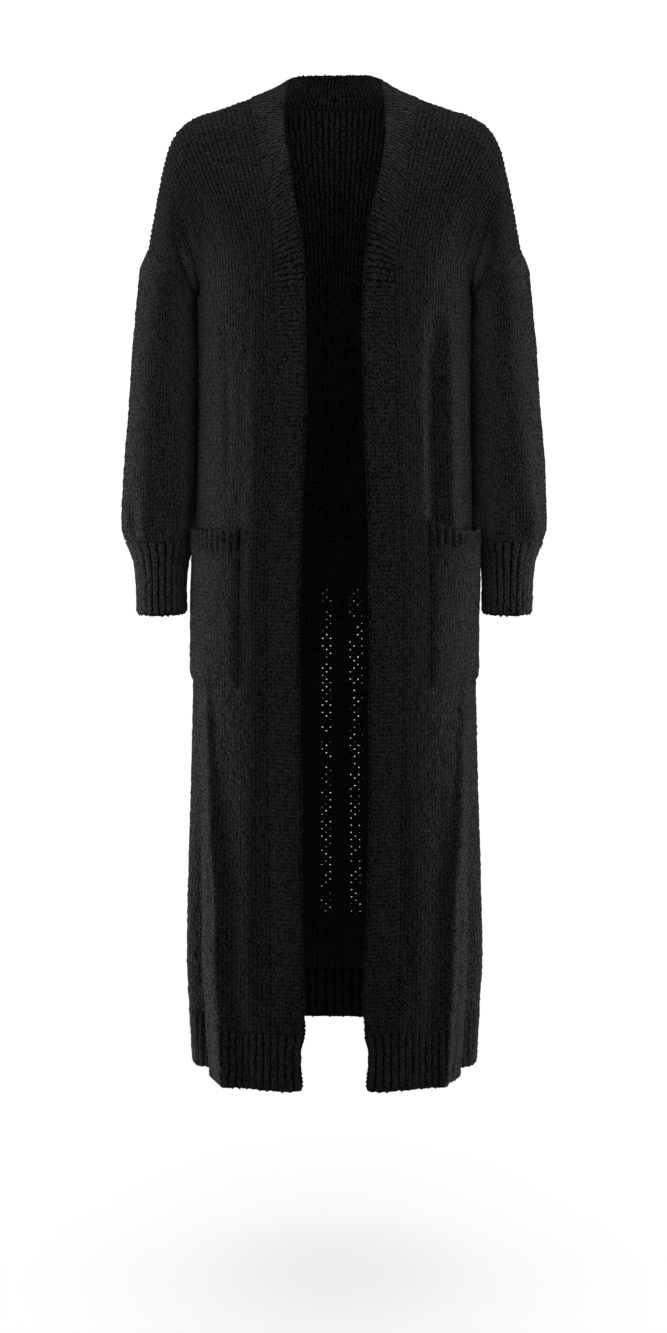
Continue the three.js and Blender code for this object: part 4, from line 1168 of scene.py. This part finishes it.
class CardiganStudio(bpy.types.PropertyGroup):
    floor: millimetres("Floor", "Height of the floor under the shoulders", -1405)
    world: FloatProperty(name="Surroundings", description="Brightness of the white surroundings", default=1.1)
    side_light: watts("Side Lights", "Power of each side light", 150)
    low_light: watts("Low Lights", "Power of each light beside the skirt", 55)
    top_light: watts("Top Light", "Power of the light before the chest", 95)
    floor_colour: tint("Floor Colour", "Colour of the floor", "#ffffff")


class CARDIGAN_OT_fronts(bpy.types.Operator):
    """Make the two fronts"""
    bl_idname = "cardigan.fronts"
    bl_label = "Fronts"

    def execute(self, context):
        for name in SIDES:
            make_piece(f"front_{name}")
        return {"FINISHED"}


class CARDIGAN_OT_back(bpy.types.Operator):
    """Make the back"""
    bl_idname = "cardigan.back"
    bl_label = "Back"

    def execute(self, context):
        make_piece("back", 4)
        return {"FINISHED"}


class CARDIGAN_OT_sleeves(bpy.types.Operator):
    """Make the sleeves"""
    bl_idname = "cardigan.sleeves"
    bl_label = "Sleeves"

    def execute(self, context):
        for name in SIDES:
            make_piece(f"sleeve_{name}")
        return {"FINISHED"}


class CARDIGAN_OT_cuffs(bpy.types.Operator):
    """Make the ribbed cuffs"""
    bl_idname = "cardigan.cuffs"
    bl_label = "Cuffs"

    def execute(self, context):
        for name in SIDES:
            make_piece(f"cuff_{name}")
        return {"FINISHED"}


class CARDIGAN_OT_band(bpy.types.Operator):
    """Make the ribbed band up both fronts and round the neck"""
    bl_idname = "cardigan.band"
    bl_label = "Front Band"

    def execute(self, context):
        make_piece("front_band", 4)
        return {"FINISHED"}


class CARDIGAN_OT_hems(bpy.types.Operator):
    """Make the ribbing at the hem"""
    bl_idname = "cardigan.hems"
    bl_label = "Hem Ribbing"

    def execute(self, context):
        for name in SIDES:
            make_piece(f"hem_{name}")
        make_piece("hem_back")
        return {"FINISHED"}


class CARDIGAN_OT_pockets(bpy.types.Operator):
    """Make the patch pockets with their ribbed tops"""
    bl_idname = "cardigan.pockets"
    bl_label = "Pockets"

    def execute(self, context):
        for name in SIDES:
            make_piece(f"pocket_{name}")
        return {"FINISHED"}


# Lamps: power's name and share, size, place, turn in degrees, and the width of their light in degrees
LAMPS = (
    ("side_light_left", "side_light", 0.9, (1.2, 2.2), (-1.9, 1.3, -0.45), (90, 0, -124), 180),
    ("side_light_right", "side_light", 0.2, (1.2, 2.2), (1.9, 1.3, -0.45), (90, 0, 124), 180),
    ("low_light_left", "low_light", 1, (0.9, 0.8), (-2.1, 0.45, -1.15), (90, 0, -102), 60),
    ("low_light_right", "low_light", 0.85, (0.9, 0.8), (2.1, 0.45, -1.15), (90, 0, 102), 60),
    ("top_light", "top_light", 1, (2.4, 0.6), (0, -1.7, 0.2), (98, 0, 0), 180),
)


def area_light(name, power, size, location, turn, spread, unlit):
    """A large soft lamp, kept off the things in one collection, with its light within so many degrees."""
    data = bpy.data.lights.new(name, "AREA")
    data.energy = power
    data.shape = "RECTANGLE"
    data.size, data.size_y = size
    data.spread = math.radians(spread)
    lamp = bpy.data.objects.new(name, data)
    lamp.location = location
    lamp.rotation_euler = [math.radians(a) for a in turn]
    lamp.light_linking.receiver_collection = unlit
    bpy.context.scene.collection.objects.link(lamp)


class CARDIGAN_OT_stage(bpy.types.Operator):
    """Make the floor, the light and the camera"""
    bl_idname = "cardigan.stage"
    bl_label = "Stage"

    def execute(self, context):
        scene = context.scene
        studio = scene.cardigan_studio
        reach = 14
        corners = [(-reach, -reach), (reach, -reach), (reach, reach), (-reach, reach)]
        mesh = bpy.data.meshes.new("studio_floor")
        mesh.from_pydata([(x, y, studio.floor) for x, y in corners], [], [(0, 1, 2, 3)])
        floor = bpy.data.objects.new("studio_floor", mesh)
        scene.collection.objects.link(floor)
        paper = bpy.data.materials.new("matt_white_paper")
        paper.use_nodes = True
        shader = paper.node_tree.nodes["Principled BSDF"]
        shader.inputs["Base Color"].default_value = (*studio.floor_colour, 1)
        shader.inputs["Roughness"].default_value = 0.9
        mesh.materials.append(paper)
        world = bpy.data.worlds.new("white_studio")
        world.use_nodes = True
        background = world.node_tree.nodes["Background"]
        background.inputs["Color"].default_value = (1, 1, 1, 1)
        background.inputs["Strength"].default_value = studio.world
        scene.world = world
        scene.view_settings.view_transform = "Standard"
        # The lamps don't reach the floor, which would throw their light back up at the hem
        unlit = bpy.data.collections.new("studio_floor_only")
        unlit.objects.link(floor)
        unlit.collection_objects[0].light_linking.link_state = "EXCLUDE"
        for name, kind, share, *rest in LAMPS:
            area_light(name, share * getattr(studio, kind), *rest, unlit)
        data = bpy.data.cameras.new("camera")
        data.lens = 49.3
        data.sensor_width = 36
        camera = bpy.data.objects.new("camera", data)
        camera.location = (-0.0012, -2.154, -0.4135)
        camera.rotation_euler = (math.radians(83.544), 0, 0)
        scene.collection.objects.link(camera)
        scene.camera = camera
        return {"FINISHED"}


OPERATORS = (CARDIGAN_OT_fronts, CARDIGAN_OT_back, CARDIGAN_OT_sleeves, CARDIGAN_OT_cuffs, CARDIGAN_OT_band,
             CARDIGAN_OT_hems, CARDIGAN_OT_pockets, CARDIGAN_OT_stage)


class CARDIGAN_PT_panel(bpy.types.Panel):
    """Lists the pieces"""
    bl_idname = "CARDIGAN_PT_panel"
    bl_label = "Cardigan"
    bl_space_type = "VIEW_3D"
    bl_region_type = "UI"
    bl_category = "Cardigan"

    def draw(self, context):
        for operator in OPERATORS:
            self.layout.operator(operator.bl_idname)


GROUPS = {"cardigan_knit": CardiganKnit, "cardigan_yarn": CardiganYarn, "cardigan_nap": CardiganNap,
          "cardigan_studio": CardiganStudio}
CLASSES = (*GROUPS.values(), *OPERATORS, CARDIGAN_PT_panel)


def register():
    for cls in CLASSES:
        bpy.utils.register_class(cls)
    for name, group in GROUPS.items():
        setattr(bpy.types.Scene, name, PointerProperty(type=group))


def unregister():
    for name in GROUPS:
        delattr(bpy.types.Scene, name)
    for cls in reversed(CLASSES):
        bpy.utils.unregister_class(cls)


def main():
    register()
    bpy.ops.cardigan.fronts()
    bpy.ops.cardigan.back()
    bpy.ops.cardigan.sleeves()
    bpy.ops.cardigan.cuffs()
    bpy.ops.cardigan.band()
    bpy.ops.cardigan.hems()
    bpy.ops.cardigan.pockets()
    bpy.ops.cardigan.stage()


if __name__ == "__main__":
    main()
